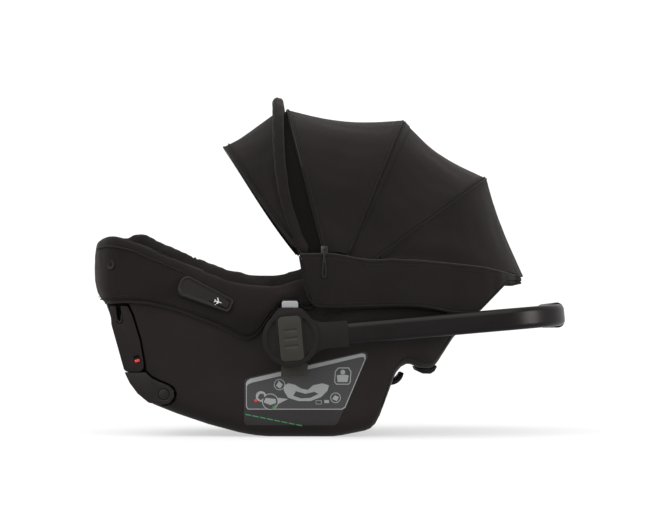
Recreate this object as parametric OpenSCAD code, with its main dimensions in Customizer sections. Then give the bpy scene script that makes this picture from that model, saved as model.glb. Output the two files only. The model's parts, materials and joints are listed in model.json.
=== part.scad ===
// Infant car seat: rocker shell, foam liner, sewn covers, harness, turning carry handle,
// folding canopy and swing-out lower anchor connectors.
// Frame: X from the foot end to the head end, Y across the seat, Z up.
// The origin is on the floor, under the centre of the seat. Units are millimetres.

/* [Shell] */
// Length of the plastic shell
shell_len = 640; // [625:1:655]
// Width of the shell at its rim
shell_w = 356; // [348:1:358]
// Wall thickness of the shell
wall = 3; // [2.5:0.1:4.5]
// Inward lean of the side walls, per millimetre of height
draft = 0.12; // [0.1:0.01:0.14]
// Thickness of the foam liner
liner_t = 15; // [12:1:16]

/* [Covers] */
// Thickness of the outer cover
cover_t = 6; // [4:0.5:8]
// Thickness of the padded seat liner
pad_t = 12; // [8:1:14]
// Height that the seat padding stands above the rim at its highest
pad_rise = 28; // [20:1:32]

/* [Handle] */
// Distance from the pivot axis to the outside of the cross bar
handle_reach = 420; // [418:1:440]
// Distance between the centre lines of the two arms
handle_w = 413; // [411:1:420]
// Depth of the tube across the arm
tube_h = 33; // [30:0.5:35]
// Thickness of the tube
tube_t = 17; // [15:0.5:18]
// Radius of the round hub
hub_r = 42.5; // [42:0.5:46]
// Angle of the stowed handle above the horizontal
handle_lift = 5; // [3:0.5:8]
// Travel of the hub buttons
button_travel = 4; // [3:0.5:4]

/* [Canopy] */
// Half width of the canopy at its hinges
canopy_hw = 189.5; // [189:0.1:190]
// Thickness of the canopy fabric
fabric_t = 1.5; // [1:0.1:2]
// Radius of the bow rods
bow_r = 2.5; // [2:0.1:2.6]

/* [Anchor connectors] */
// Distance between the centre lines of the two connectors
anchor_pitch = 280; // [278:0.5:282]
// Width of each connector
anchor_w = 24; // [22:0.5:25]
// Gap of the jaw that takes the anchor bar
jaw_gap = 7; // [6.5:0.1:8]

/* [Hidden] */
$fn = 48;

black_plastic = "#2a2726";
black_fabric = "#332f2e";
grey_green = "#4a4d43";
metal = "#b9bab8";
foam = "#4f4d4c";

// Outlines of the shell, seen from the side and from above
kx = shell_len / 640;
kw = shell_w / 356;
rim_ref = 240;
bottom_line = [
    [-351, 228], [-344, 208], [-334, 186], [-321, 142], [-309, 104], [-298, 80], [-284, 61],
    [-268, 49], [-231, 34.5], [-183, 18.5], [-134, 5.5], [-110, 1.5], [-90, 0], [-75, 0], [-50, 0],
    [-37, 0], [8, 0], [22, 1.8], [36, 4.6], [57, 8.7], [66, 12], [74, 20], [80, 32], [102, 93], [106, 101], [112, 107],
    [120, 111.5], [128, 111], [134, 107.5], [139, 105], [148, 104.5], [158, 104.5], [166, 111], [192, 152],
    [234, 192], [272, 231], [289, 242]
];
rim_line = [
    [-351, 291], [-330, 298], [-300, 291], [-270, 278], [-220, 256.5], [-150, 228], [-110, 221],
    [-75, 220], [-37, 233], [0, 240], [60, 243], [150, 244], [220, 244], [289, 246]
];
plan_line = [
    [-351, 95], [-348, 115], [-342, 131], [-330, 147], [-300, 159], [-200, 168], [-100, 175],
    [-50, 177], [0, 178], [150, 178], [205, 171], [240, 158], [262, 142], [278, 120], [289, 92]
];
seat_line = [
    [-345, 292], [-338, 262], [-320, 224], [-290, 182], [-250, 148], [-200, 122], [-150, 106],
    [-100, 98], [-50, 97], [0, 102], [50, 114], [100, 134], [130, 149], [160, 165], [200, 189],
    [240, 216], [262, 232], [275, 243]
];
stations = [for (p = bottom_line) p[0] * kx];
inner_xs = [for (x = [-336, -330, -320, -310, -300, -290, -270, -250, -220, -200, -150, -110, -100, -75, -50, -37, 0,
    50, 60, 100, 130, 150, 160, 200, 205, 220, 240, 262, 268]) x * kx];
corner_r = 30;

// Handle and hub places
hub_x = -55;
hub_z = 150;
arm_y = handle_w / 2;
mount_r = 37;
mount_in = 172;
mount_out = 191;
hub_in = 192.5;
hub_out = 220;
axle_r = 6;
run_gap = 0.05;
tube_corner = 90;
socket_end = 86;
insert_w = 35;
insert_h = 67;

// Canopy places: each bow is [angle above the head-end horizontal, reach of its top]
fold_x = 10;
fold_z = 225;
arch_power = 2.8;
bow_start = 60;
bow_y = 184;
panel_start = 55;
front_angle = 106.6;
front_reach = 309;
vent_angle = 104.4;
vent_reach = 293;
middle_angle = 67.8;
middle_reach = 289;
rear_angle = 36.2;
rear_reach = 297.5;
visor_angle = 127.5;
visor_reach = 285;
hem_line = [[30, 31], [92, 29], [135, 18], [196, 10.5], [264, 6], [300, 4]];

// Anchor connector places
pivot_x = -249;
pivot_z = 65;
shaft_r = 8;

// ---- shared functions -------------------------------------------------------------------

function mix(a, b, t) = a + (b - a) * t;
function bottom_z(x) = lookup(x / kx, bottom_line);
function rim_z(x) = lookup(x / kx, rim_line);
function seat_z(x) = lookup(x / kx, seat_line);
function half_w(x) = kw * lookup(x / kx, plan_line);
function side_y(x, z, lean = draft) = half_w(x) - lean * (rim_ref - z);
function floor_z(x, gap) = max([for (d = [-gap, 0, gap]) bottom_z(x + d)]) + gap;

// One cross-section of a tub: off moves the side walls outwards
function tub_ring(x, off, zb, zt, r, lean = draft) =
    let (q = min(r, (zt - zb) * 0.7), h = side_y(x, zb + q, lean) + off)
    concat(
        [[x, -side_y(x, zt, lean) - off, zt]],
        [for (a = [0:22.5:90]) [x, -(h - q) - q * cos(a), zb + q - q * sin(a)]],
        [for (a = [90:-22.5:0]) [x, (h - q) + q * cos(a), zb + q - q * sin(a)]],
        [[x, side_y(x, zt, lean) + off, zt]]
    );

// Closed solid through equal rings of points, with its faces turned outwards.
// Quads from index turn_at on are split along their other diagonal
function total(v, i = 0) = i == len(v) - 1 ? v[i] : v[i] + total(v, i + 1);
function ring_area(r) = total([for (i = [1:len(r) - 2]) cross(r[i] - r[0], r[i + 1] - r[0])]);
module skin(rings, turn_at = 1000) {
    n = len(rings[0]);
    m = len(rings);
    mid = floor(m / 2);
    out = ring_area(rings[mid]) * (rings[mid][0] - rings[mid - 1][0]) > 0;
    sides = [
        for (j = [0:m - 2], i = [0:n - 1])
            let (k = (i + 1) % n, a = j * n + i, b = j * n + k, c = (j + 1) * n + k, d = (j + 1) * n + i)
            each (i < turn_at ? [[a, c, d], [a, b, c]] : [[a, b, d], [b, c, d]])
    ];
    ends = [[for (i = [n - 1:-1:0]) i], [for (i = [0:n - 1]) (m - 1) * n + i]];
    faces = [for (f = concat(ends, sides)) out ? [for (i = [len(f) - 1:-1:0]) f[i]] : f];
    polyhedron([for (r = rings) each r], faces, convexity = 10);
}

module both_sides() {
    children();
    mirror([0, 1, 0]) children();
}

// Places a part that is drawn with +Z outwards on the near (-1) or far (+1) side at height y
module on_side(side, x, z, y) {
    translate([x, side * y, z]) rotate([-side * 90, 0, 0]) children();
}

module side_extrude(y0, y1) {
    translate([0, y1, 0]) rotate([90, 0, 0]) linear_extrude(y1 - y0) children();
}

module rounded_rect(w, h, r) {
    hull() for (x = [-1, 1], y = [-1, 1]) translate([x * (w / 2 - r), y * (h / 2 - r)]) circle(r, $fn = 32);
}

module stadium(t, h) {
    square([t, h - t], center = true);
    for (s = [-1, 1]) translate([0, s * (h - t) / 2]) circle(t / 2);
}

// Tube along a U: two legs from start, round corners and a cross bar. children() is its section
module u_tube(half, reach, corner, start) {
    for (s = [-1, 1]) {
        translate([start, s * half, 0]) rotate([90, 0, 90]) linear_extrude(reach - corner - start) children();
        translate([reach - corner, s * (half - corner), 0])
            rotate([0, 0, s > 0 ? 0 : -90]) rotate_extrude(angle = 90) translate([corner, 0]) children();
    }
    translate([reach, half - corner, 0]) rotate([90, 0, 0]) linear_extrude(2 * (half - corner)) children();
}

// Rounded tube swept along a list of points
function unit(v) = v / norm(v);
function tangent(p, i) = unit(p[min(i + 1, len(p) - 1)] - p[max(i - 1, 0)]);
module sweep(path, r, sides = 8, up = [0, 1, 0]) {
    skin([
        for (i = [0:len(path) - 1])
            let (t = tangent(path, i), a = unit(cross(t, up)), b = cross(t, a))
            [for (k = [0:sides - 1]) path[i] + r * (a * cos(k * 360 / sides) - b * sin(k * 360 / sides))]
    ]);
}

// ---- shell and liners -------------------------------------------------------------------

module tub(off, drop, rise, x0, x1) {
    xs = [for (x = stations) min(max(x, x0), x1)];
    ring_x = [for (i = [0:len(xs) - 1]) if (i == 0 || xs[i] - xs[max(i - 1, 0)] > 0.5) xs[i]];
    skin([for (x = ring_x) tub_ring(x, off, bottom_z(x) - drop, rim_z(x) + rise, corner_r)]);
}

module cavity(gap = 0) {
    x0 = stations[0] + wall + gap;
    x1 = stations[len(stations) - 1] - wall - gap;
    xs = concat([x0], [for (x = stations) if (x > x0 + 1 && x < x1 - 1) x], [x1]);
    skin([for (x = xs) tub_ring(x, -wall - gap, floor_z(x, wall) + gap, rim_z(x) + 20, corner_r - wall)]);
}

module connector_outline() {
    polygon([[-331, 199], [-329, 171], [-309.5, 102], [-305, 99], [-285, 99], [-280, 104], [-280, 114],
        [-286, 148], [-297, 184], [-304, 200]]);
}

module arm_outline() {
    polygon([[-309, 98.5], [-301, 82], [-289, 66], [-272, 52], [-256, 49.5], [-241, 51], [-233.5, 60],
        [-234, 71], [-241, 78], [-256, 84], [-268, 90], [-277, 98.5]]);
}

module recess_outline(grow) {
    offset(delta = grow) {
        hull() connector_outline();
        hull() arm_outline();
        translate([pivot_x, pivot_z]) circle(17);
        polygon([[-331, 199], [-360, 210], [-360, 40], [-256, 30], [-256, 49.5], [-289, 66], [-309, 100]]);
    }
}

module recess(grow) {
    inner = anchor_pitch / 2 - anchor_w / 2 - 2 - grow;
    both_sides() side_extrude(inner, 200) recess_outline(2 + grow);
}

module shell() {
    color(black_plastic) difference() {
        union() {
            tub(0, 0, 0, -400, 400);
            both_sides() on_side(1, hub_x, hub_z, 150) cylinder(r = 42, h = mount_in - 150);
        }
        recess(0);
        difference() {
            cavity();
            recess(wall);
            both_sides() on_side(1, hub_x, hub_z, 150) cylinder(r = 14, h = 40);
        }
        translate([pivot_x, -160, pivot_z]) rotate([-90, 0, 0]) cylinder(r = shaft_r + run_gap, h = 320);
        both_sides() on_side(1, hub_x, hub_z, 140) cylinder(r = axle_r + run_gap, h = 60);
        both_sides() on_side(1, fold_x, fold_z, 150) cylinder(r = 4.05, h = 60);
    }
}

module foam_liner() {
    top = [for (x = stations) if (x > -346 * kx && x < 283 * kx) x];
    color(foam) difference() {
        intersection() {
            skin([
                for (x = top)
                    tub_ring(x, -wall - 0.6, max(seat_z(x) - liner_t, floor_z(x, wall) + 0.6), rim_z(x), corner_r)
            ]);
            cavity(0.7);
        }
        skin([
            for (x = inner_xs)
                tub_ring(x, -wall - liner_t - 1, seat_z(x), rim_z(x) + 20, min(corner_r + 6, 0.7 * (pad_top(x) - seat_z(x) - 0.6)))
        ]);
        both_sides() translate([96, 24, 60]) cube([12, 42, 120]);
        translate([-128, -20, 60]) cube([10, 40, 60]);
        both_sides() on_side(1, fold_x, fold_z, 150) cylinder(r = 6, h = 60);
        both_sides() on_side(1, hub_x, hub_z, 140) cylinder(r = 15, h = 60);
        recess(wall + 0.6);
    }
}

module outer_cover() {
    cover_xs = [for (x = stations) if (x > -345 * kx && x < -5) x];
    edge = [
        [-370, 203], [-303, 204], [-272, 202], [-241, 195], [-221, 190], [-197, 181], [-170, 171],
        [-146, 159], [-132, 150], [-122, 147], [-112, 151], [-100, 163], [-90, 180], [-76.5, 192],
        [-74.5, 197], [-72.5, 199], [-72.5, 208.5], [-41.5, 208.5], [-41.5, 199], [-37, 197], [-18, 197], [-30, 210], [-38, 240], [-44, 274], [-46, 330],
        [-370, 330]
    ];
    color(black_fabric) intersection() {
        side_extrude(-200, 200) polygon(edge);
        difference() {
            skin([
                for (x = concat([-358, -352], [for (x = cover_xs) x - 6], [-16]))
                    let (q = max(x + 6, -350))
                    tub_ring(q, cover_t - (x < -355 ? 8 : 0), bottom_z(q) - cover_t, rim_z(q) + 9, corner_r)
                        + [for (i = [0:11]) [x - q, 0, 0]]
            ]);
            skin([
                for (x = concat([-351.6], cover_xs, [5]))
                    tub_ring(max(x, -350.9), 0.8, bottom_z(x) - 40, rim_z(x) + 0.8, corner_r)
                        + [for (i = [0:11]) [x - max(x, -350.9), 0, 0]]
            ]);
            skin([for (x = inner_xs) if (x < 60) tub_ring(x, -wall - liner_t - 0.5, rim_z(x) - 60, rim_z(x) + 40, 10)]);
            both_sides() on_side(1, hub_x, hub_z, 150) cylinder(r = hub_r + 3, h = 80);
        }
    }
}

pad_steps = [[-336, 0.1], [-310, 0.35], [-300, 0.65], [-290, 0.9], [-270, 1.07], [-250, 1.02], [-40, 1], [20, 0.8],
    [266, 0.5]];
function pad_top(x) = rim_z(x) + pad_rise * lookup(x / kx, pad_steps);
module seat_pad() {
    gap = wall + liner_t + 1.6;
    last = len(inner_xs) - 1;
    xs = [for (i = [0:last]) inner_xs[i] + (i == 0 ? 1.4 : i == last ? -1.6 : 0)];
    color(black_fabric) difference() {
        skin([for (x = xs) tub_ring(x, -gap, seat_z(x) + 0.6, pad_top(x), corner_r + 6)]);
        skin([
            for (x = [for (x = xs) if (x > -321 && x < 255) x])
                tub_ring(x, -gap - pad_t, seat_z(x) + pad_t, pad_top(x) + 40, corner_r)
        ]);
        both_sides() translate([96, 24, 60]) cube([12, 42, 160]);
        both_sides() on_side(1, hub_x, hub_z, 143.5) cylinder(r = 13, h = 30);
        translate([-128, -20, 60]) cube([10, 40, 80]);
        recess(wall + 1.2);
    }
}

function slab_z(x) = seat_z(x) + pad_t + 0.8;
module slab(x0, x1, half, t, lift = 0) {
    skin([
        for (x = concat([x0], [for (x = inner_xs) if (x > x0 + 1 && x < x1 - 1) x], [x1]))
            let (z = slab_z(x) + lift)
            [[x, -half, z + t], [x, -half, z], [x, half, z], [x, half, z + t]]
    ]);
}

insert_t = 14;
module body_insert() {
    color(black_fabric) difference() {
        slab(-150, 112, 80, insert_t);
        both_sides() translate([96, 24, 60]) cube([12, 42, 160]);
        translate([-128, -20, 60]) cube([10, 40, 90]);
    }
}

module head_support() {
    color(black_fabric) difference() {
        skin([
            for (i = [0:6])
                let (x = 118 + i * 17, z = slab_z(x))
                [[x, -90, z + 44], [x, -92, z], [x, 92, z], [x, 90, z + 44]]
        ]);
        skin([
            for (i = [-1:7])
                let (x = 118 + i * 17, z = slab_z(x), e = sin(i * 30) * 6)
                [[x, -70 + e, z + 60], [x, -57 + e, z + 14], [x, 57 - e, z + 14], [x, 70 - e, z + 60]]
        ]);
    }
}

boot_out = 18.2;
boot_top = [[-50, 276], [9, 276.5], [41, 270], [66, 266.5], [93, 268], [139, 266], [202, 260], [234, 257],
    [265, 251], [289, 246]];
boot_edge = [[-42, 290], [-42, 274], [-36, 240], [-28, 210], [-16, 197], [10, 196], [120, 199], [160, 196],
    [187, 188], [225, 189], [236, 198], [273, 235.5], [303, 234], [303, 290]];
module boot_solid(inset) {
    xs = [-50, -10, 30, 66, 110, 150, 184, 201, 220, 238, 257, 272, 281, 289];
    function puff(x) = lookup(x, [[150, boot_out], [289, 12]]) - inset;
    end = [for (x = [297 - inset, 301 - inset]) tub_ring(289, puff(289) - (x > 298 - inset ? 16 : 6), 231,
        lookup(289, boot_top) - (inset > 0 ? -9 : 1), 6, 0) + [for (i = [0:11]) [x - 289, 0, 0]]];
    skin(concat(
        [for (x = xs) tub_ring(x, puff(x), min(bottom_z(x) - 4, 190), lookup(x, boot_top) + (inset > 0 ? 9 : 0), 6, 0)],
        end
    ));
}

module canopy_boot() {
    color(black_fabric) difference() {
        intersection() {
            side_extrude(-210, 210) polygon(boot_edge);
            boot_solid(0);
        }
        intersection() {
            side_extrude(-210, 210) offset(delta = -3.5) polygon(boot_edge);
            boot_solid(2.5);
        }
        skin([
            for (x = concat([for (x = stations) if (x > -58) x], [290]))
                let (q = min(x, stations[len(stations) - 1]))
                tub_ring(q, 0.8, bottom_z(q) - 0.8, rim_z(q) + 60, min(corner_r, 0.7 * (rim_z(q) - bottom_z(q))))
                    + [for (i = [0:11]) [x - q, 0, 0]]
        ]);
    }
}

module rear_stop() {
    color("#1b1a1a") side_extrude(-120, 120) polygon([[138.5, 104.3], [141.5, 98], [146, 95.8], [158, 95.6],
        [164, 99.5], [168, 106.5], [165.5, 109.3], [158.4, 103.7], [147, 103.7]]);
}

module rear_belt_hook() {
    color("#1b1a1a") side_extrude(-60, 60) difference() {
        translate([98, 98]) circle(21);
        translate([95.5, 104]) circle(20.5);
        polygon([[60, 31], [80, 31], [102.6, 93], [104, 96], [150, 96], [150, 140], [60, 140]]);
    }
}

// ---- outside trim -----------------------------------------------------------------------

// Thin patch that follows the side wall, with corners given as [x, z]
module side_patch(corners, off, t) {
    cols = 8;
    rows = 4;
    function at(u, v) = mix(mix(corners[0], corners[1], u), mix(corners[3], corners[2], u), v);
    both_sides() skin([
        for (i = [0:cols])
            concat(
                [for (j = [0:rows]) let (p = at(i / cols, j / rows)) [p[0], side_y(p[0], p[1]) + off, p[1]]],
                [for (j = [rows:-1:0]) let (p = at(i / cols, j / rows)) [p[0], side_y(p[0], p[1]) + off + t, p[1]]]
            )
    ]);
}

module side_labels() {
    color("#77787a") side_patch([[-127, 36], [23, 36], [60, 128], [-127, 85]], 0.3, 0.7);
}

guide_x = -183;
guide_z = 215;
guide_tilt = 23.7;
module belt_guides() {
    color(black_plastic) both_sides() on_side(1, guide_x, guide_z, 175) rotate([0, 0, guide_tilt]) {
        difference() {
            linear_extrude(5) hull() {
                translate([-30, 0]) rounded_rect(30, 31, 9);
                translate([34, 0]) rounded_rect(24, 22, 4);
            }
            translate([0, 0, 3.5]) linear_extrude(3) hull() {
                translate([-30, 0]) rounded_rect(24, 25, 7);
                translate([34, 0]) rounded_rect(18, 16, 3);
            }
        }
    }
}

module hub_mounts() {
    color(black_plastic) both_sides() on_side(1, hub_x, hub_z, 0) difference() {
        union() {
            translate([0, 0, mount_in + 0.2]) cylinder(r = mount_r, h = mount_out - mount_in - 0.2);
            translate([0, 0, mount_in + 2]) linear_extrude(16)
                polygon([[-17.5, -46], [14.5, -46], [17, -45], [20, -42], [28, -34], [28, -20], [-29, -20], [-29, -33.5],
                    [-22, -41], [-19.5, -44.5]]);
        }
        translate([0, 0, 180]) cylinder(r = 23.5, h = 20);
        translate([0, 0, 150]) cylinder(r = axle_r + run_gap, h = 60);
        translate([-14.5, -mount_r - 10, mount_in + 4.8]) cube([26, 12.4, 12.4]);
        translate([-16, 30, mount_in + 4]) cube([42, 16, 12]);
    }
}

module adapter_sockets() {
    color(grey_green) both_sides() difference() {
        translate([-70, mount_in + 0.4, 93.5]) cube([40, 18.4, 19]);
        translate([-64, mount_in + 5.5, 90]) cube([28, 8, 17]);
        translate([-80, mount_in + 4, 110]) cube([60, 12, 14]);
        translate([-58, mount_in + 7, 104]) cube([16, 6, 8]);
        on_side(1, hub_x, hub_z, mount_in) cylinder(r = mount_r + 0.3, h = 40);
    }
}

module canopy_brackets() {
    color(black_plastic) both_sides() on_side(1, fold_x, fold_z, 0) {
        translate([0, 0, 178.3]) cylinder(r = 14, h = 1.1);
        translate([0, 0, 160]) cylinder(r = 4, h = 27.4);
        translate([0, 0, 187.4]) cylinder(r = 7, h = 1.4);
    }
}

// ---- harness ----------------------------------------------------------------------------

// Flat webbing along X with its middle line given as [x, y, height over the insert]
module webbing(points, width, t) {
    skin([
        for (p = points)
            let (z = slab_z(p[0]) + insert_t + p[2])
            [[p[0], p[1] - width / 2, z + t], [p[0], p[1] - width / 2, z], [p[0], p[1] + width / 2, z],
                [p[0], p[1] + width / 2, z + t]]
    ]);
}

strap_t = 1.6;
module shoulder_straps() {
    color("#201f1f") both_sides() webbing([[104, 45, -12], [99, 45, 2], [50, 42.5, 2], [20, 40, 2], [0, 37.5, 2],
        [-20, 34, 2], [-53, 26, 4]], 36, strap_t);
}

module shoulder_pads() {
    color(black_fabric) both_sides() webbing([[90, 44.6, 4.2], [50, 42.5, 4.2], [22, 40.2, 4.2]], 50, 9);
}

module lap_straps() {
    color("#201f1f") both_sides() skin([
        for (i = [0:5])
            let (y = mix(79, 33, i / 5), z = slab_z(-62) + insert_t + mix(0.5, 5.5, i / 5))
            [[-78, y, z + strap_t], [-78, y, z], [-54, y, z], [-54, y, z + strap_t]]
    ]);
}

module crotch_strap() {
    color("#201f1f") webbing([[-124, 0, -12], [-121, 0, 1], [-112, 0, 2], [-98, 0, 5]], 36, strap_t);
}

module crotch_pad() {
    color(black_fabric) webbing([[-118, 0, 4], [-112, 0, 5], [-101, 0, 8]], 46, 7);
}

buckle_z = slab_z(-75) + insert_t + 4;
module buckle_body() {
    color(black_plastic) difference() {
        translate([-97, 0, buckle_z]) linear_extrude(19) translate([22, 0]) rounded_rect(44, 46, 8);
        translate([-83, 0, buckle_z + 9]) linear_extrude(12) rounded_rect(20.4, 30.4, 5);
        translate([-66, -19, buckle_z + 5]) cube([20, 38, 6]);
    }
}

module buckle_button() {
    color("#b3221d") translate([-83, 0, buckle_z + 12.4]) linear_extrude(8) rounded_rect(19.6, 29.6, 4.6);
}

module buckle_tongues() {
    color(metal) both_sides() translate([-65.5, 1, buckle_z + 6]) difference() {
        cube([38, 16.5, 3]);
        translate([22, 4, -1]) cube([6, 9, 6]);
    }
}

module chest_clip() {
    color(black_plastic) both_sides() translate([-14, 0.3, slab_z(14) + insert_t + 4.4]) difference() {
        cube([28, 58, 8]);
        translate([7, 14, -1]) cube([3, 40, 10]);
        translate([18, 14, -1]) cube([3, 40, 10]);
    }
}

adjust_x = -222;
adjust_z = seat_z(adjust_x) + pad_t;
module at_adjuster() {
    translate([adjust_x, 0, adjust_z + 1.3]) rotate([0, 29, 0]) children();
}

module adjuster_bezel() {
    color(black_plastic) at_adjuster() difference() {
        linear_extrude(6) rounded_rect(46, 58, 8);
        translate([0, 0, 2]) linear_extrude(6) rounded_rect(26.6, 34.6, 5);
        translate([-21, -15, -1]) cube([4, 30, 8]);
    }
}

module adjuster_button() {
    color(black_plastic) at_adjuster() translate([0, 0, 6.1]) linear_extrude(3.4) rounded_rect(26, 34, 5);
    color(black_plastic) at_adjuster() translate([0, 0, 5.2]) linear_extrude(1) rounded_rect(25, 33, 5);
}

module adjuster_strap() {
    color("#201f1f") skin([
        for (x = [-246, -256, -270, -284])
            let (z = seat_z(x) + pad_t + (x > -250 ? 3.6 : 1.2))
            [[x, -12.5, z + 2], [x, -12.5, z], [x, 12.5, z], [x, 12.5, z + 2]]
    ]);
}

module harness_yoke() {
    color(metal) translate([40, 0, 60]) difference() {
        cube([3, 130, 34], center = true);
        for (s = [-1, 1]) translate([0, s * 38, 4]) cube([5, 42, 5], center = true);
        translate([0, 0, -9]) cube([5, 30, 5], center = true);
    }
}

// ---- handle -----------------------------------------------------------------------------

module at_handle() {
    translate([hub_x, 0, hub_z]) rotate([0, -handle_lift, 0]) children();
}

module tube_section(grow) {
    stadium(tube_t + 2 * grow, tube_h + 2 * grow);
}

module handle_tube() {
    color("#1c1b1b") at_handle() difference() {
        u_tube(arm_y, handle_reach - tube_t / 2, tube_corner, 60) tube_section(0);
        u_tube(arm_y, handle_reach - tube_t / 2, tube_corner, 50) tube_section(-tube_wall);
    }
}

tube_wall = 1.8;
grip_t = 21;
grip_h = 39;
module handle_grip() {
    half = arm_y - tube_corner - 2;
    color("#191818") at_handle() difference() {
        translate([handle_reach - grip_t / 2, half, 0]) rotate([90, 0, 0]) linear_extrude(2 * half) stadium(grip_t, grip_h);
        translate([handle_reach - tube_t / 2, half + 1, 0]) rotate([90, 0, 0]) linear_extrude(2 * half + 2) tube_section(0.05);
    }
}

gear_r = 19;
gear_teeth = 12;
module gear_2d(grow) {
    circle(gear_r + grow);
    for (i = [0:gear_teeth - 1]) rotate(i * 360 / gear_teeth)
        translate([gear_r - 2, -2.2 - grow]) square([5 + grow, 4.4 + 2 * grow]);
}

module handle_hub() {
    difference() {
        union() {
            translate([0, 0, hub_in]) cylinder(r = hub_r, h = hub_out - hub_in, $fn = 96);
            translate([0, 0, 196.5]) linear_extrude(20) difference() {
                translate([20, -30.5]) square([35.1, 61]);
                for (s = [-1, 1]) translate([55.1, s * 54.5]) circle(35, $fn = 120);
            }
            translate([40, -19.5, 196.5]) cube([socket_end - 40, 39, 20]);
        }
        translate([55, 0, arm_y]) rotate([90, 0, 90]) linear_extrude(40) rotate(90) tube_section(0.08);
        translate([0, 0, hub_in - 1]) linear_extrude(7.5) gear_2d(0.4);
        translate([0, 0, hub_in - 1]) cylinder(r = axle_r + run_gap, h = 15);
        for (s = [-1, 1]) translate([0, s * 13, 190]) cylinder(r = 2.7, h = 20);
        translate([0, 0, 217]) difference() {
            cylinder(r = hub_r - 7, h = 5, $fn = 96);
            linear_extrude(5) rounded_rect(insert_w + 5, insert_h + 5, 9);
        }
        translate([0, 0, 207.5]) linear_extrude(20) rounded_rect(insert_w + 0.8, insert_h + 0.8, 7.4);
    }
}

// Turns a part drawn upright so that it lies across the arm of the handle
module on_hub(side) {
    at_handle() on_side(side, 0, 0, 0) children();
}

module handle_hubs() {
    color(black_plastic) for (s = [-1, 1]) on_hub(s) handle_hub();
}

module hub_button(side) {
    color(grey_green) on_hub(side) difference() {
        union() {
            translate([0, 0, 212]) linear_extrude(9) rounded_rect(insert_w, insert_h, 7);
            for (s = [-1, 1]) translate([0, s * 13, 196.5]) cylinder(r = 2.4, h = 16);
        }
        for (i = [-1:1]) translate([0, i * 12, 224]) rotate([0, 90, 0]) cylinder(r = 4, h = 20, center = true);
    }
}
module hub_button_left() { hub_button(-1); }
module hub_button_right() { hub_button(1); }

module lock_gear(side) {
    color("#8a8b88") on_hub(side) difference() {
        translate([0, 0, 188]) linear_extrude(8.4) gear_2d(0);
        translate([0, 0, 180]) cylinder(r = axle_r + run_gap, h = 30);
    }
}
module lock_gear_left() { lock_gear(-1); }
module lock_gear_right() { lock_gear(1); }

// Compression spring between the pocket floor and the lock gear
module hub_spring(side) {
    turns = 3;
    steps = 48;
    coil_r = 11;
    wire = 0.9;
    low = 181;
    high = 186.9;
    color(metal) on_side(side, hub_x, hub_z, 0) sweep([
        for (i = [0:steps])
            let (a = i * 360 * turns / steps)
            [coil_r * cos(a), coil_r * sin(a), mix(low, high, i / steps)]
    ], wire, 6, [0, 0, 1]);
}
module hub_spring_left() { hub_spring(-1); }
module hub_spring_right() { hub_spring(1); }

module hub_bolts() {
    color(metal) both_sides() on_side(1, hub_x, hub_z, 0) {
        translate([0, 0, 150]) cylinder(r = axle_r, h = 56.5);
        translate([0, 0, 145]) cylinder(r = 11, h = 5, $fn = 6);
    }
}

// ---- stroller adapter release -----------------------------------------------------------

module release_button(side) {
    y0 = side > 0 ? mount_in + 5 : -mount_in - 17;
    color(metal) {
        side_extrude(y0, y0 + 12) {
            translate([-69, 196.5]) square([24.5, 6.5]);
            translate([-65.5, 202]) square([17.5, 4.5]);
            for (x = [-65.5, -48]) translate([x, 203]) circle(3.5);
        }
        translate([-68, y0 + 1, 188.5]) cube([22.5, 10, 8]);
    }
}
module release_button_left() { release_button(-1); }
module release_button_right() { release_button(1); }

module adapter_pawl(side) {
    color("#8a8b88") {
        translate([-67, side > 0 ? mount_in + 6 : -mount_in - 14, 110.6]) cube([34, 8, 1.8]);
        translate([-57, side > 0 ? mount_in + 7.5 : -mount_in - 12.5, 102.5]) cube([14, 5, 9]);
    }
}
module adapter_pawl_left() { adapter_pawl(-1); }
module adapter_pawl_right() { adapter_pawl(1); }

// ---- canopy -----------------------------------------------------------------------------

// Point on an arch: phi runs from hinge to hinge, reach is the height of its top
function arch_r(phi, reach) = reach * pow(cos(phi), 2 / arch_power);
function arch_y(phi, half) = sign(phi) * half * pow(abs(sin(phi)), 2 / arch_power);
function fold_point(r, y, angle) = [fold_x + r * cos(angle), y, fold_z + r * sin(angle)];
function phi_at(r, reach) = acos(pow(r / reach, arch_power / 2));
function bow_lean(r) = 29 * pow(max(0, 1 - r / front_reach), 1.3);
function visor_lean(r) = 11 * pow(max(0, 1 - r / visor_reach), 1.5);
function hem_angle(r) = lookup(r, hem_line);

module bow(reach, start, angle, lean, r) {
    end = phi_at(start, reach);
    n = 26;
    sweep([
        for (i = [0:n])
            let (phi = mix(-end, end, i / n), q = arch_r(phi, reach))
            fold_point(q, arch_y(phi, bow_y), angle + (lean == 1 ? bow_lean(q) : lean == 2 ? visor_lean(q) : 0))
    ], r, 8, [sin(angle), 0, -cos(angle)]);
}

// Flat arm from the hinge pin to the end of a bow rod, in its own layer
arm_t = 2.2;
module bow_arm(layer, angle) {
    for (s = [-1, 1]) on_side(s, fold_x, fold_z, 0) difference() {
        rotate([0, 0, -s * angle]) {
            translate([0, 0, layer]) cylinder(r = 9, h = arm_t);
            translate([0, -3.5, layer]) cube([bow_start + 7, 7, arm_t]);
            translate([bow_start - 1, -3, min(layer, bow_y - 1)])
                cube([8, 6, max(layer + arm_t, bow_y + 1) - min(layer, bow_y - 1)]);
        }
        translate([0, 0, 170]) cylinder(r = 4.05, h = 30);
    }
}

function edge_angle(kind, r) =
    kind == "front" ? front_angle + bow_lean(r) :
    kind == "visor" ? visor_angle + visor_lean(r) :
    kind == "vent" ? vent_angle :
    kind == "middle" ? middle_angle :
    kind == "rear" ? rear_angle : hem_angle(r);

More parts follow.
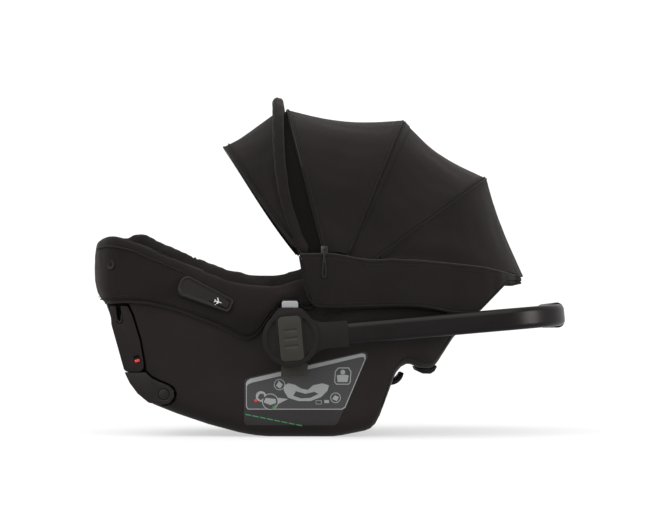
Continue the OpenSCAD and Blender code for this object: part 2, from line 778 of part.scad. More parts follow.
// Fabric between two edges, trimmed by a length at each. sag pulls its middle inwards
module panel(edge_a, reach_a, trim_a, edge_b, reach_b, trim_b, sag, start = panel_start) {
    cols = 28;
    rows = 5;
    spread = abs(edge_angle(edge_a, 290) - edge_angle(edge_b, 290));
    function sheet(phi, t, inset) =
        let (
            reach = mix(reach_a, reach_b, t) * cos(spread / 2) / cos(spread * (t - 0.5)) - sag * sin(180 * t) - inset,
            r = max(arch_r(phi, reach), start - inset / 2)
        )
        fold_point(r, arch_y(phi, canopy_hw - inset), mix(
            edge_angle(edge_a, r) - trim_a / r * 57.3, edge_angle(edge_b, r) + trim_b / r * 57.3, t));
    end = phi_at(start, min(reach_a, reach_b));
    skin([
        for (i = [0:cols])
            let (phi = mix(-end, end, i / cols))
            concat(
                [for (j = [0:rows]) sheet(phi, j / rows, 0)],
                [for (j = [rows:-1:0]) sheet(phi, j / rows, fabric_t)]
            )
    ], rows + 1);
}

module front_bow() {
    color(metal) {
        bow(front_reach, bow_start, front_angle, 1, bow_r);
        bow_arm(184.8, front_angle + bow_lean(bow_start));
    }
}
pad_r = 9;
module front_bow_pad() {
    color(black_fabric) difference() {
        bow(front_reach, 74, front_angle, 1, pad_r);
        bow(front_reach, bow_start, front_angle, 1, bow_r + 0.3);
    }
}
module middle_bow() {
    color(metal) {
        bow(middle_reach - 5, bow_start, middle_angle, 0, bow_r);
        bow_arm(182.2, middle_angle);
    }
}
module rear_bow() {
    color(metal) {
        bow(rear_reach - 5, bow_start, rear_angle, 0, bow_r);
        bow_arm(179.6, rear_angle);
    }
}
module visor_bow() { color(metal) bow(visor_reach - 4, 140, visor_angle, 2, 1.6); }
module panel_front() { color(black_fabric) panel("vent", vent_reach, 1.5, "middle", middle_reach, 1.5, 9); }
module panel_middle() { color(black_fabric) panel("middle", middle_reach, 1.5, "rear", rear_reach, 1.5, 10); }
// Trims the lower ends of a panel to a circle about the hinge
module above_hinge(r) {
    difference() {
        children();
        translate([fold_x, 0, fold_z]) rotate([90, 0, 0]) cylinder(r = r, h = 420, center = true);
    }
}
module panel_rear() { color(black_fabric) above_hinge(84) panel("rear", rear_reach, 1.5, "hem", 299, 0, 4, 80); }
module vent_mesh() { color("#1a1919") panel("front", 295, pad_r + 1, "vent", vent_reach - 2, 1.5, 0); }
module visor_panel() {
    color(black_fabric) above_hinge(99) panel("visor", visor_reach, 0, "front", 295, pad_r + 1, 3, 95);
}

module zip_slider() {
    color(metal) {
        translate([-10, -192.4, 272]) cube([10, 2, 17]);
        translate([-5, -191, 283]) rotate([90, 0, 0]) cylinder(r = 1.2, h = 6.6);
    }
}

module zip_pull() {
    color(metal) difference() {
        translate([-9, -197.7, 240]) cube([8, 1.2, 46]);
        translate([-5, -190, 283]) rotate([90, 0, 0]) cylinder(r = 1.25, h = 10);
    }
}

// ---- anchor connectors ------------------------------------------------------------------

module latch_shaft() {
    color(metal) translate([pivot_x, -anchor_pitch / 2 - anchor_w / 2 + 1, pivot_z])
        rotate([-90, 0, 0]) cylinder(r = shaft_r, h = anchor_pitch + anchor_w - 2);
}

module at_anchors(in, out) {
    both_sides() side_extrude(anchor_pitch / 2 - anchor_w / 2 + in, anchor_pitch / 2 + anchor_w / 2 - out) children();
}

module latch_arms() {
    color(black_plastic) difference() {
        at_anchors(2, 2) arm_outline();
        translate([pivot_x, -200, pivot_z]) rotate([-90, 0, 0]) cylinder(r = shaft_r + run_gap, h = 400);
    }
}

module release_slot() {
    polygon([[-293, 112], [-284, 114.5], [-287, 124.5], [-296, 122]]);
}

module latch_connectors() {
    color(black_plastic) difference() {
        at_anchors(0, 0) connector_outline();
        at_anchors(-1, -1) {
            polygon([[-323, 205], [-323 + jaw_gap, 205], [-319.5 + jaw_gap, 176], [-319.5, 176]]);
            translate([-319.5 + jaw_gap / 2, 176]) circle(jaw_gap / 2);
        }
        both_sides() side_extrude(anchor_pitch / 2 + anchor_w / 2 - 5, anchor_pitch) release_slot();
    }
}

module latch_release(side) {
    y = anchor_pitch / 2 + anchor_w / 2;
    color("#c4221e") mirror([0, side < 0 ? 1 : 0, 0]) side_extrude(y - 4.6, y + 1)
        polygon([[-292.4, 112.8], [-285, 114.8], [-286.2, 119], [-293.6, 117]]);
}
module latch_release_left() { latch_release(-1); }
module latch_release_right() { latch_release(1); }

shell();
foam_liner();
outer_cover();
seat_pad();
body_insert();
head_support();
canopy_boot();
rear_stop();
rear_belt_hook();
belt_guides();
side_labels();
hub_mounts();
adapter_sockets();
shoulder_straps();
shoulder_pads();
lap_straps();
crotch_strap();
crotch_pad();
chest_clip();
buckle_body();
buckle_tongues();
adjuster_strap();
adjuster_bezel();
harness_yoke();
hub_bolts();
canopy_brackets();
handle_tube();
handle_grip();
handle_hubs();
hub_button_left();
hub_button_right();
lock_gear_left();
lock_gear_right();
hub_spring_left();
hub_spring_right();
release_button_left();
release_button_right();
adapter_pawl_left();
adapter_pawl_right();
front_bow();
front_bow_pad();
vent_mesh();
panel_front();
middle_bow();
panel_middle();
rear_bow();
panel_rear();
visor_panel();
visor_bow();
zip_slider();
zip_pull();
latch_shaft();
latch_arms();
latch_connectors();
latch_release_left();
latch_release_right();
buckle_button();
adjuster_button();
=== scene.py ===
"""Infant car seat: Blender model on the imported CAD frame. Metres, row frame."""
import json
from math import acos, asin, ceil, copysign, cos, exp, pi, radians, sin, sqrt

import bmesh
import bpy
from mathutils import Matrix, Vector, noise

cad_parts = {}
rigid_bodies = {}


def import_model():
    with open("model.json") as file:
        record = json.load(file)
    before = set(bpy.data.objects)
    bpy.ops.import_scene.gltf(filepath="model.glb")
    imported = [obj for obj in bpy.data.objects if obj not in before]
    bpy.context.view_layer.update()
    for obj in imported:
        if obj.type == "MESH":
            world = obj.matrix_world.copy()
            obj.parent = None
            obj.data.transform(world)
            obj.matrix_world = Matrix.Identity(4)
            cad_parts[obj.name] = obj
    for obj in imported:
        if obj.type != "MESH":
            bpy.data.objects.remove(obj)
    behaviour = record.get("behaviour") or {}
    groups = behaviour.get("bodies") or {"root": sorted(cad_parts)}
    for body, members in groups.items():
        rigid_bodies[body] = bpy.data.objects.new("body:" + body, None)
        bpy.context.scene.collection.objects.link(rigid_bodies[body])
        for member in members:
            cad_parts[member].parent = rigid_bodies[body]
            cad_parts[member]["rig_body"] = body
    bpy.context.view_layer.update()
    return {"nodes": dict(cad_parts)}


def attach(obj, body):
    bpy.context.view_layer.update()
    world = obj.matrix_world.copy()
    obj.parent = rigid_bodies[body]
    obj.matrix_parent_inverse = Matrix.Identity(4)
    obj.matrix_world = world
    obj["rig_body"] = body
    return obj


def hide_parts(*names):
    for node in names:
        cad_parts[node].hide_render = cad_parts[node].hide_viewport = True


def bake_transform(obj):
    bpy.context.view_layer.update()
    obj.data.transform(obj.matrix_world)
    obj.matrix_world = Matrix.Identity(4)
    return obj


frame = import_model()
scene = bpy.context.scene
MM = 0.001
SIDES = ((-1, "left"), (1, "right"))


# ---------------------------------------------------------------- materials
class Nodes:
    """Small helper round a material's node tree."""

    def __init__(self, name):
        self.mat = bpy.data.materials.new(name)
        self.mat.use_nodes = True
        self.nt = self.mat.node_tree
        self.bsdf = self.nt.nodes["Principled BSDF"]
        self.coord = self.nt.nodes.new("ShaderNodeTexCoord")

    def node(self, kind, **values):
        n = self.nt.nodes.new("ShaderNode" + kind)
        for key, value in values.items():
            if key in n.inputs:
                n.inputs[key].default_value = value
            else:
                setattr(n, key, value)
        return n

    def link(self, a, b):
        self.nt.links.new(a, b)

    def noise(self, scale, detail=4.0, rough=0.55, vector=None):
        n = self.node("TexNoise", Scale=scale, Detail=detail, Roughness=rough)
        self.link(vector or self.coord.outputs["Object"], n.inputs["Vector"])
        return n.outputs["Fac"]

    def ramp(self, fac, stops):
        r = self.node("ValToRGB")
        el = r.color_ramp.elements
        while len(el) < len(stops):
            el.new(0.5)
        for e, (pos, col) in zip(el, stops):
            e.position = pos
            e.color = (*col, 1)
        self.link(fac, r.inputs["Fac"])
        return r.outputs["Color"]

    def span(self, fac, low, high):
        """fac, from 0 to 1, spread over low to high."""
        m = self.node("MapRange", **{"To Min": low, "To Max": high})
        self.link(fac, m.inputs["Value"])
        return m.outputs["Result"]

    def math(self, op, a, b):
        m = self.node("Math", operation=op)
        for socket, value in zip(m.inputs, (a, b)):
            if isinstance(value, (int, float)):
                socket.default_value = value
            else:
                self.link(value, socket)
        return m.outputs[0]

    def bump(self, height, strength, distance, normal=None):
        b = self.node("Bump", Strength=strength, Distance=distance)
        self.link(height, b.inputs["Height"])
        if normal:
            self.link(normal, b.inputs["Normal"])
        return b.outputs["Normal"]

    def weave(self, pitch):
        """Height of a plain weave whose threads lie pitch metres apart, from the surface's own x, y and z."""
        sep = self.node("SeparateXYZ")
        self.link(self.coord.outputs["Object"], sep.inputs[0])
        turns = 2 * pi / pitch
        u = self.math("MULTIPLY", sep.outputs["X"], turns)
        v = self.math("MULTIPLY", self.math("ADD", sep.outputs["Z"], sep.outputs["Y"]), turns)
        return self.math("MULTIPLY", self.math("SINE", u, 0), self.math("SINE", v, 0))

    def fix(self, values):
        """Numbers and colours that are the same all over, on the shader's own sockets."""
        for socket, value in values.items():
            self.bsdf.inputs[socket].default_value = value


def thousandths(col):
    return tuple(c / 1000 for c in col)


def fabric(name, dark, light, pitch, rough=0.92, sheen=0.1, depth=0.00012):
    """Woven cloth. depth is how deep the threads stand, in metres."""
    n = Nodes(name)
    dark, light = thousandths(dark), thousandths(light)
    w = n.weave(pitch)
    big = n.noise(14, 5, 0.6)
    fine = n.noise(900, 3, 0.7)
    mixed = n.math("ADD", n.math("MULTIPLY", big, 0.45), n.math("MULTIPLY", fine, 0.35))
    mixed = n.math("ADD", mixed, n.math("MULTIPLY", w, 0.08))
    n.link(n.ramp(mixed, [(0.22, dark), (0.72, light)]), n.bsdf.inputs["Base Color"])
    n.link(n.span(big, rough - 0.06, rough + 0.05), n.bsdf.inputs["Roughness"])
    puckers = n.bump(n.noise(55, 4, 0.6), 0.35, 0.0012)
    n.link(n.bump(w, 0.55, depth, n.bump(fine, 0.35, depth, puckers)), n.bsdf.inputs["Normal"])
    n.fix({"Sheen Weight": sheen, "Sheen Roughness": 0.45, "Sheen Tint": (0.5, 0.47, 0.45, 1),
           "Specular IOR Level": 0.08, "Specular Tint": (1.0, 0.86, 0.86, 1)})
    return n.mat


def plastic(name, col, rough=0.5, grain=1300, depth=0.00005, strength=0.35, vary=0.12, spec=0.4, coat=0.0):
    """Moulded plastic. grain is the scale of its fine texture, vary how much its colour wanders."""
    n = Nodes(name)
    lo = thousandths(c * (1 - vary) for c in col)
    hi = thousandths(c * (1 + vary) + 1 for c in col)
    n.link(n.ramp(n.noise(9, 5, 0.6), [(0.3, lo), (0.7, hi)]), n.bsdf.inputs["Base Color"])
    n.link(n.span(n.noise(35, 6, 0.65), rough - 0.05, rough + 0.07), n.bsdf.inputs["Roughness"])
    n.link(n.bump(n.noise(grain, 2, 0.5), strength, depth), n.bsdf.inputs["Normal"])
    n.fix({"Specular IOR Level": spec * 0.6, "Specular Tint": (1.0, 0.90, 0.90, 1), "Coat Weight": coat,
           "Coat Roughness": 0.2})
    return n.mat


def metal(name, col, rough):
    n = Nodes(name)
    dull = thousandths(c * 0.9 for c in col)
    n.link(n.ramp(n.noise(40, 5, 0.6), [(0.3, dull), (0.7, thousandths(col))]), n.bsdf.inputs["Base Color"])
    n.link(n.span(n.noise(160, 5, 0.7), rough - 0.08, rough + 0.1), n.bsdf.inputs["Roughness"])
    n.link(n.bump(n.noise(1500, 2, 0.5), 0.2, 0.00002), n.bsdf.inputs["Normal"])
    n.fix({"Metallic": 1.0})
    return n.mat


# Colours are linear, in thousandths
M = {
    "cover": fabric("cover_weave", (4.4, 3.4, 3.4), (10.5, 8.6, 8.6), 0.0012, sheen=0.12),
    "canopy": fabric("canopy_weave", (3.6, 2.9, 2.9), (8.2, 6.7, 6.7), 0.0009, sheen=0.10),
    "pad": fabric("pad_knit", (4.8, 4, 4), (12.5, 10.4, 10.4), 0.0016, rough=0.95, sheen=0.16,
        depth=0.0002),
    "binding": fabric("binding_tape", (2.6, 2.2, 2.2), (6.2, 5.1, 5.1), 0.0008, sheen=0.08),
    "piping": fabric("piping_cloth", (5.2, 4.3, 4.3), (13, 10.8, 10.8), 0.0008, sheen=0.14),
    "webbing": fabric("webbing_weave", (3.5, 3, 3), (8, 7.1, 7.1), 0.0022, rough=0.62, sheen=0.08,
        depth=0.0003),
    "thread": fabric("sewing_thread", (10, 8.5, 8.5), (21, 18, 18), 0.0005, sheen=0.1),
    # Near-black net: the vent's own net, made darker than the other cloth as painted shade for the dim canopy
    # inside seen through it; the badges' slot ropes use it as painted shade alone
    "mesh": fabric("vent_net_and_painted_shade", (0.8, 0.7, 0.6), (2, 1.7, 1.6), 0.0016, sheen=0.02, depth=0.0005),
    "shell": plastic("shell_plastic", (8.4, 6.6, 6.6), 0.5, spec=0.10),
    "hub": plastic("hub_plastic", (4.4, 3.5, 3.5), 0.46, grain=1700, depth=0.00003, spec=0.15),
    "trim": plastic("trim_plastic", (5, 4, 4), 0.4, grain=1700, depth=0.00003, spec=0.24),
    "foam": plastic("liner_foam", (18, 17, 16), 0.9, grain=260, depth=0.0007, strength=0.7, spec=0.2),
    "green": plastic("hub_insert", (12.5, 12.8, 9.8), 0.5, grain=1500, spec=0.26),
    "tube": plastic("tube_coating", (2, 1.7, 1.7), 0.34, grain=2200, depth=0.00002, spec=0.20),
    "grip": plastic("grip_vinyl", (4.4, 3.8, 3.5), 0.46, grain=480, depth=0.00025, strength=0.6, spec=0.3),
    "rubber": plastic("foot_rubber", (3.6, 3.4, 3.3), 0.72, grain=700, depth=0.0001, spec=0.25),
    "silver": plastic("button_silver", (170, 175, 178), 0.32, grain=2000, depth=0.00002, coat=0.3),
    "gear": plastic("gear_plastic", (100, 100, 97), 0.45),
    "label": plastic("label_film", (23.5, 24, 25), 0.42, grain=2500, depth=0.00001, vary=0.05),
    "label_pale": plastic("label_pale", (155, 160, 160), 0.42, grain=2500, depth=0.00001, vary=0.04),
    "label_dark": plastic("label_dark", (8.5, 8.6, 9.2), 0.42, grain=2500, depth=0.00001, vary=0.05),
    "label_green": plastic("label_green", (22, 105, 40), 0.42, vary=0.04),
    "red": plastic("red_plastic", (330, 12, 10), 0.35, grain=2200, depth=0.00002, coat=0.3),
    "white": plastic("pale_print", (420, 420, 410), 0.5, vary=0.03),
    "metal": metal("bright_metal", (340, 340, 335), 0.3),
    "dark_metal": metal("dark_metal", (35, 34, 33), 0.32),
    "bow": metal("hoop_metal", (20, 20, 20), 0.4),
}


# ---------------------------------------------------------------- mesh helpers
def new_object(name, data):
    o = bpy.data.objects.new(name, data)
    scene.collection.objects.link(o)
    return o


def smooth(o, angle=None):
    for p in o.data.polygons:
        p.use_smooth = True
    if angle is not None:
        o.data.set_sharp_from_angle(angle=radians(angle))


def mesh_object(name, verts, faces, mat, sharp=None):
    me = bpy.data.meshes.new(name)
    me.from_pydata([tuple(v) for v in verts], [], faces)
    me.validate()
    o = new_object(name, me)
    me.materials.append(M[mat])
    bm = bmesh.new()
    bm.from_mesh(me)
    bmesh.ops.recalc_face_normals(bm, faces=bm.faces)
    bm.to_mesh(me)
    bm.free()
    smooth(o, sharp)
    return o


def loft(name, rings, mat, closed=True, caps=True, loop=False, sharp=None):
    """Mesh through equal rings. closed joins each ring's ends, loop joins the last ring to the first."""
    n, m = len(rings[0]), len(rings)
    verts = [v for r in rings for v in r]
    faces = []
    for j in range(m if loop else m - 1):
        for i in range(n if closed else n - 1):
            k, jj = (i + 1) % n, (j + 1) % m
            faces.append((j * n + i, j * n + k, jj * n + k, jj * n + i))
    if caps and closed and not loop:
        faces.append(tuple(range(n - 1, -1, -1)))
        faces.append(tuple((m - 1) * n + i for i in range(n)))
    return mesh_object(name, verts, faces, mat, sharp)


def apply_modifiers(o):
    dg = bpy.context.evaluated_depsgraph_get()
    me = bpy.data.meshes.new_from_object(o.evaluated_get(dg))
    old = o.data
    o.modifiers.clear()
    o.data = me
    bpy.data.meshes.remove(old)
    return o


def modify(o, kind, **settings):
    """Adds one modifier and applies it."""
    m = o.modifiers.new(kind.lower(), kind)
    for k, v in settings.items():
        setattr(m, k, v)
    bpy.context.view_layer.update()
    return apply_modifiers(o)


def bevel(o, width, segments, angle):
    return modify(o, "BEVEL", width=width, segments=segments, limit_method="ANGLE",
                  angle_limit=radians(angle), harden_normals=False)


def subdivide(o):
    return modify(o, "SUBSURF", levels=1, render_levels=1)


def join(name, objects):
    """One object from several meshes, keeping their materials."""
    mats, verts, faces, idx, flat = [], [], [], [], []
    for o in objects:
        base = len(verts)
        verts += [o.matrix_world @ v.co for v in o.data.vertices]
        slots = []
        for m in o.data.materials:
            if m not in mats:
                mats.append(m)
            slots.append(mats.index(m))
        for p in o.data.polygons:
            faces.append([base + v for v in p.vertices])
            idx.append(slots[p.material_index] if slots else 0)
            flat.append(p.use_smooth)
    me = bpy.data.meshes.new(name)
    me.from_pydata([tuple(v) for v in verts], [], faces)
    for m in mats:
        me.materials.append(m)
    for p, i, s in zip(me.polygons, idx, flat):
        p.material_index = i
        p.use_smooth = s
    me.set_sharp_from_angle(angle=radians(38))
    for o in objects:
        bpy.data.objects.remove(o)
    return new_object(name, me)


def curve_points(pts, step):
    """Points of a smooth curve through pts, about step apart (Catmull-Rom)."""
    pts = [Vector(p) for p in pts]
    out = []
    for i in range(len(pts) - 1):
        p0, p1, p2, p3 = pts[max(i - 1, 0)], pts[i], pts[i + 1], pts[min(i + 2, len(pts) - 1)]
        n = max(1, int((p2 - p1).length / step))
        for k in range(n):
            t = k / n
            out.append(0.5 * ((2 * p1) + (p2 - p0) * t + (2 * p0 - 5 * p1 + 4 * p2 - p3) * t * t
                              + (3 * p1 - p0 - 3 * p2 + p3) * t ** 3))
    out.append(pts[-1])
    return out


def resample(pts, step):
    """The same polyline with points step apart."""
    total = sum((b - a).length for a, b in zip(pts, pts[1:]))
    n = max(2, round(total / step))
    out, seg, done = [pts[0].copy()], 0, 0.0
    for i in range(1, n):
        want = total * i / n
        while seg < len(pts) - 2 and done + (pts[seg + 1] - pts[seg]).length < want:
            done += (pts[seg + 1] - pts[seg]).length
            seg += 1
        a, b = pts[seg], pts[seg + 1]
        out.append(a.lerp(b, min(1, (want - done) / max((b - a).length, 1e-9))))
    out.append(pts[-1].copy())
    return out


def tangent(pts, i):
    return (pts[min(i + 1, len(pts) - 1)] - pts[max(i - 1, 0)]).normalized()


def rope(name, pts, radius, mat, sides=8):
    """Round tube along pts. radius is in metres, or a function of the share of the way along."""
    rings = []
    t = tangent(pts, 0)
    x = Vector((0, 0, 1)) if abs(t.z) < 0.9 else Vector((0, 1, 0))
    for i, p in enumerate(pts):
        t = tangent(pts, i)
        x = (x - t * x.dot(t)).normalized()
        y = t.cross(x)
        r = radius(i / (len(pts) - 1)) if callable(radius) else radius
        turn = [2 * pi * k / sides for k in range(sides)]
        rings.append([p + x * (r * cos(a)) + y * (r * sin(a)) for a in turn])
    return loft(name, rings, mat)


def stitches(name, pts, normals, lift=0.0002):
    """Row of short thread stitches along pts: each is thickest in its middle."""
    length, gap, radius, sides = 0.0032, 0.0018, 0.0004, 5
    path = resample([p + n * lift for p, n in zip(pts, normals)], length + gap)
    verts, faces = [], []
    for a, b in zip(path, path[1:]):
        d = (b - a)
        if d.length < 1e-6:
            continue
        t = d.normalized()
        u = t.orthogonal().normalized()
        w = t.cross(u)
        e = a + t * length
        base = len(verts)
        for c, r in ((a, 0.35), ((a + e) / 2, 1.0), (e, 0.35)):
            for k in range(sides):
                q = 2 * pi * k / sides
                verts.append(c + (u * cos(q) + w * sin(q)) * radius * r)
        for ring in (base, base + sides):
            for k in range(sides):
                kk = (k + 1) % sides
                faces.append((ring + k, ring + kk, ring + sides + kk, ring + sides + k))
        faces.append(tuple(base + k for k in range(sides - 1, -1, -1)))
        faces.append(tuple(base + 2 * sides + k for k in range(sides)))
    return mesh_object(name, verts, faces, "thread")


def clamp(v, a=0.0, b=1.0):
    return max(a, min(b, v))


def ease(t):
    t = clamp(t)
    return t * t * (3 - 2 * t)


def lookup(table, x):
    if x <= table[0][0]:
        return table[0][1]
    for (x0, y0), (x1, y1) in zip(table, table[1:]):
        if x <= x1:
            return y0 + (y1 - y0) * (x - x0) / (x1 - x0)
    return table[-1][1]


def smooth_table(table, width):
    """lookup with its corners rounded over width."""
    def f(x):
        return sum(lookup(table, x + width * k) * w
                   for k, w in ((-1, 1), (-0.5, 2), (0, 3), (0.5, 2), (1, 1))) / 9
    return f


# ---------------------------------------------------------------- outlines, the same as the CAD model's (mm)
BOTTOM = [(-351, 228), (-344, 208), (-334, 186), (-321, 142), (-309, 104), (-298, 80), (-284, 61),
          (-268, 49), (-231, 34.5), (-183, 18.5), (-134, 5.5), (-110, 1.5), (-90, 0), (8, 0), (22, 1.8),
          (36, 4.6), (57, 8.7), (66, 12), (74, 20), (80, 32), (102, 93), (106, 101), (112, 107),
          (120, 111.5), (128, 111), (134, 107.5), (139, 105), (148, 104.5), (158, 104.5), (166, 111),
          (192, 152), (234, 192), (272, 231), (289, 242)]
RIM = [(-351, 291), (-330, 298), (-300, 291), (-270, 278), (-220, 256.5), (-150, 228), (-110, 221),
       (-75, 220), (-37, 233), (0, 240), (60, 243), (150, 244), (220, 244), (289, 246)]
PLAN = [(-351, 95), (-348, 115), (-342, 131), (-330, 147), (-300, 159), (-200, 168), (-100, 175),
        (-50, 177), (0, 178), (150, 178), (205, 171), (240, 158), (262, 142), (278, 120), (289, 92)]
SEAT = [(-345, 292), (-338, 262), (-320, 224), (-290, 182), (-250, 148), (-200, 122), (-150, 106),
        (-100, 98), (-50, 97), (0, 102), (50, 114), (100, 134), (130, 149), (160, 165), (200, 189),
        (240, 216), (262, 232), (275, 243)]
BOOT_TOP = [(-50, 276), (9, 276.5), (41, 270), (66, 266.5), (93, 268), (139, 266), (202, 260), (234, 257),
            (265, 251), (289, 246)]
WALL, DRAFT = 3.0, 0.12
DRAFT_TOP = 240  # height at which the plan outline is true
HUB_X, HUB_Z = -55, 150
rim_z = smooth_table(RIM, 14)
seat_z = smooth_table(SEAT, 16)


def side_y(x, z):
    return lookup(PLAN, x) - DRAFT * (DRAFT_TOP - z)


def floor_z(x, gap):
    return max(lookup(BOTTOM, x + d) for d in (-gap, 0, gap)) + gap


def V(x, y, z):
    return Vector((x * MM, y * MM, z * MM))


# ---------------------------------------------------------------- camera, floor and lights
cam = new_object("camera", bpy.data.cameras.new("camera"))
cam.data.sensor_width = 36
cam.data.lens = 130
cam.location = (-0.007, -3.70, 0.163)
cam.rotation_euler = (radians(90 + 1.8), 0, 0)
cam.data.clip_end = 50
scene.camera = cam

floor_mat = Nodes("floor_white")
floor_mat.fix({"Base Color": (0.22, 0.22, 0.22, 1), "Emission Color": (1, 1, 1, 1),
               "Emission Strength": 0.55, "Roughness": 0.75, "Specular IOR Level": 0.2})
bpy.ops.mesh.primitive_plane_add(size=30)
floor = bpy.context.object
floor.name = "floor"
floor.data.materials.append(floor_mat.mat)

world = bpy.data.worlds.new("studio")
scene.world = world
world.use_nodes = True
sky = world.node_tree.nodes["Background"]
sky.inputs["Color"].default_value = (1, 1, 1, 1)
# The studio is dimmer on the side that the camera stands on
sky_coord = world.node_tree.nodes.new("ShaderNodeTexCoord")
sky_axes = world.node_tree.nodes.new("ShaderNodeSeparateXYZ")
sky_range = world.node_tree.nodes.new("ShaderNodeMapRange")
for socket, value in (("From Min", -1.0), ("From Max", -0.2), ("To Min", 0.4), ("To Max", 1.1)):
    sky_range.inputs[socket].default_value = value
world.node_tree.links.new(sky_coord.outputs["Generated"], sky_axes.inputs[0])
world.node_tree.links.new(sky_axes.outputs["Y"], sky_range.inputs["Value"])
world.node_tree.links.new(sky_range.outputs["Result"], sky.inputs["Strength"])


def light(name, kind, energy, aim, loc=(0, 0, 0)):
    """A lamp at loc that shines along aim."""
    o = new_object(name, bpy.data.lights.new(name, kind))
    o.data.energy = energy
    o.location = loc
    o.rotation_euler = Vector(aim).to_track_quat("-Z", "Y").to_euler()
    return o.data


light("sun", "SUN", 5.0, (0.62, 0.75, -1.0)).angle = radians(90)
light("right", "AREA", 38, (-1.5, 1.3, -0.3), (1.7, -1.3, 0.5)).size = 0.8
scene.view_settings.view_transform = "Standard"


def put(o, body, replaces=None):
    """Makes a piece ride on a body and stand for a node, which it hides."""
    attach(o, body)
    if replaces:
        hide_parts(replaces)
    return o


def sewn(o, body="carrier"):
    return put(o, body)


def sewn_rope(name, pts, radius, mat, sides=8):
    return sewn(rope(name, resample(pts, 0.004), radius, mat, sides))


def noise3(p, scale, seed):
    return noise.noise(Vector((p[0] * scale + seed, p[1] * scale - seed, p[2] * scale + 3 * seed)))


def displace(o, amount):
    """Moves each point along its normal by amount(point, normal), in metres."""
    me = o.data
    me.update()
    normals = [v.normal.copy() for v in me.vertices]
    for v, n in zip(me.vertices, normals):
        v.co += n * amount(v.co, n)
    me.update()


def wrinkle(o, amount, scale, seed):
    """Moves points a little along their normals, as cloth does. amount in metres."""
    displace(o, lambda c, n: amount * (noise3(c, scale, seed) + 0.4 * noise3(c, scale * 2.3, seed + 5)))


def cut_out(o, other):
    modify(o, "BOOLEAN", operation="DIFFERENCE", solver="EXACT", object=other)
    bpy.data.objects.remove(other)


def slab(name, outline, y0, y1, mat="shell"):
    """Solid between two side planes, from an outline in x and z (mm)."""
    return loft(name, [[V(x, y, z) for x, z in outline] for y in (y0, y1)], mat)


# ---------------------------------------------------------------- shell
bottom_s = smooth_table(BOTTOM, 4)


def tub_section(x, off, zb, zt, r):
    """Points from the near rim round the bottom to the far rim, at one station. r is the corner's radius."""
    q = min(r, (zt - zb) * 0.7)
    corner, wall_steps, arc_steps, floor_steps = zb + q, 5, 6, 6
    half = []
    for i in range(wall_steps):
        z = zt + (corner - zt) * i / wall_steps
        half.append((side_y(x, z) + off, z))
    flat = side_y(x, corner) + off - q
    for i in range(arc_steps + 1):
        a = pi / 2 * i / arc_steps
        half.append((flat + q * cos(a), corner - q * sin(a)))
    middle = [V(x, -flat + 2 * flat * k / floor_steps, zb) for k in range(1, floor_steps)]
    return [V(x, -y, z) for y, z in half] + middle + [V(x, y, z) for y, z in reversed(half)]


FOOT_X, HEAD_X, CORNER = -351, 289, 30
stations = sorted(set([p[0] for p in BOTTOM] + [FOOT_X + 8 * i for i in range(81)]))
ENDS = (FOOT_X, HEAD_X)
stations = [x for i, x in enumerate(stations) if i == 0 or x - stations[i - 1] > 1.5 or x in ENDS]
body = loft("shell_body", [tub_section(x, 0, bottom_s(x), rim_z(x), CORNER) for x in stations], "shell")

RECESS = [(-360, 210), (-302, 203), (-294, 186), (-283, 149), (-277, 115), (-276, 102), (-267, 93),
          (-255, 87), (-243, 82), (-233, 76), (-229, 66), (-232, 55), (-240, 48.5), (-251, 46), (-256, 28),
          (-330, 28), (-360, 60)]
RECESS_IN = [(x + (4 if x > -350 else 0), z + (4 if z > 100 else 0)) for x, z in RECESS]


def cavity():
    xs = [-348] + [x for x in stations if -347 < x < 285] + [286]
    return loft("cavity", [tub_section(x, -WALL, floor_z(x, WALL), rim_z(x) + 20, 27) for x in xs], "shell")


hole = cavity()
for sgn, sd in SIDES:
    cut_out(hole, slab("r", RECESS_IN, sgn * 122, sgn * 210))
    cut_out(body, slab("r", RECESS, sgn * 126, sgn * 210))
cut_out(body, hole)
smooth(body, 34)
put(body, "carrier", "shell")


def turned(name, profile, mat, point, segs, sharp):
    """Solid of revolution. point(a, r, h) places a profile point (r, h) at the angle a."""
    rings = [[point(2 * pi * k / segs, r, h) for r, h in profile] for k in range(segs)]
    return loft(name, rings, mat, loop=True, sharp=sharp)


# Round boss under each hub: radius, and distance from the middle of the seat
BOSS = [(14, 150), (41, 150), (42, 151), (42, 170.5), (41, 172), (14, 172)]
for sgn, sd in SIDES:
    boss = turned("hub_boss_" + sd, BOSS, "shell",
                  lambda a, r, h: V(HUB_X + r * cos(a), sgn * h, HUB_Z + r * sin(a)), 72, 34)
    put(boss, "carrier")


def wall_y(x, z):
    """Half width of the shell's outside at height z, round its lower corner too."""
    zb = bottom_s(x)
    q = min(CORNER, (rim_z(x) - zb) * 0.7)
    drop = max(0.0, zb + q - z)
    return side_y(x, max(z, zb + q)) - q + sqrt(max(0.0, q * q - drop * drop))


# Raised shoulder lines and the bead along the shell's tail: points in x and z, radius, how deep they sit
RIBS = [
    ([(-4, 186), (30, 190), (70, 193), (120, 194), (160, 190), (186, 183)], 0.0022, 0.6),
    ([(2, 180), (12, 184), (30, 190)], 0.0016, 0.3),
    ([(82, 46), (91, 75), (101, 103), (108, 112), (117, 119), (128, 119), (137, 114), (150, 112), (158, 113),
      (175, 134), (192, 160), (213, 180), (234, 200), (262, 229)], 0.0022, 1.0),
]
for sgn, sd in SIDES:
    ribs = []
    for line, radius, sunk in RIBS:
        path = curve_points([V(x, sgn * (wall_y(x, z) - sunk), z) for x, z in line], 0.006)
        ribs.append(rope("rib", resample(path, 0.006), radius, "shell"))
    put(join("shell_ribs_" + sd, ribs), "carrier")


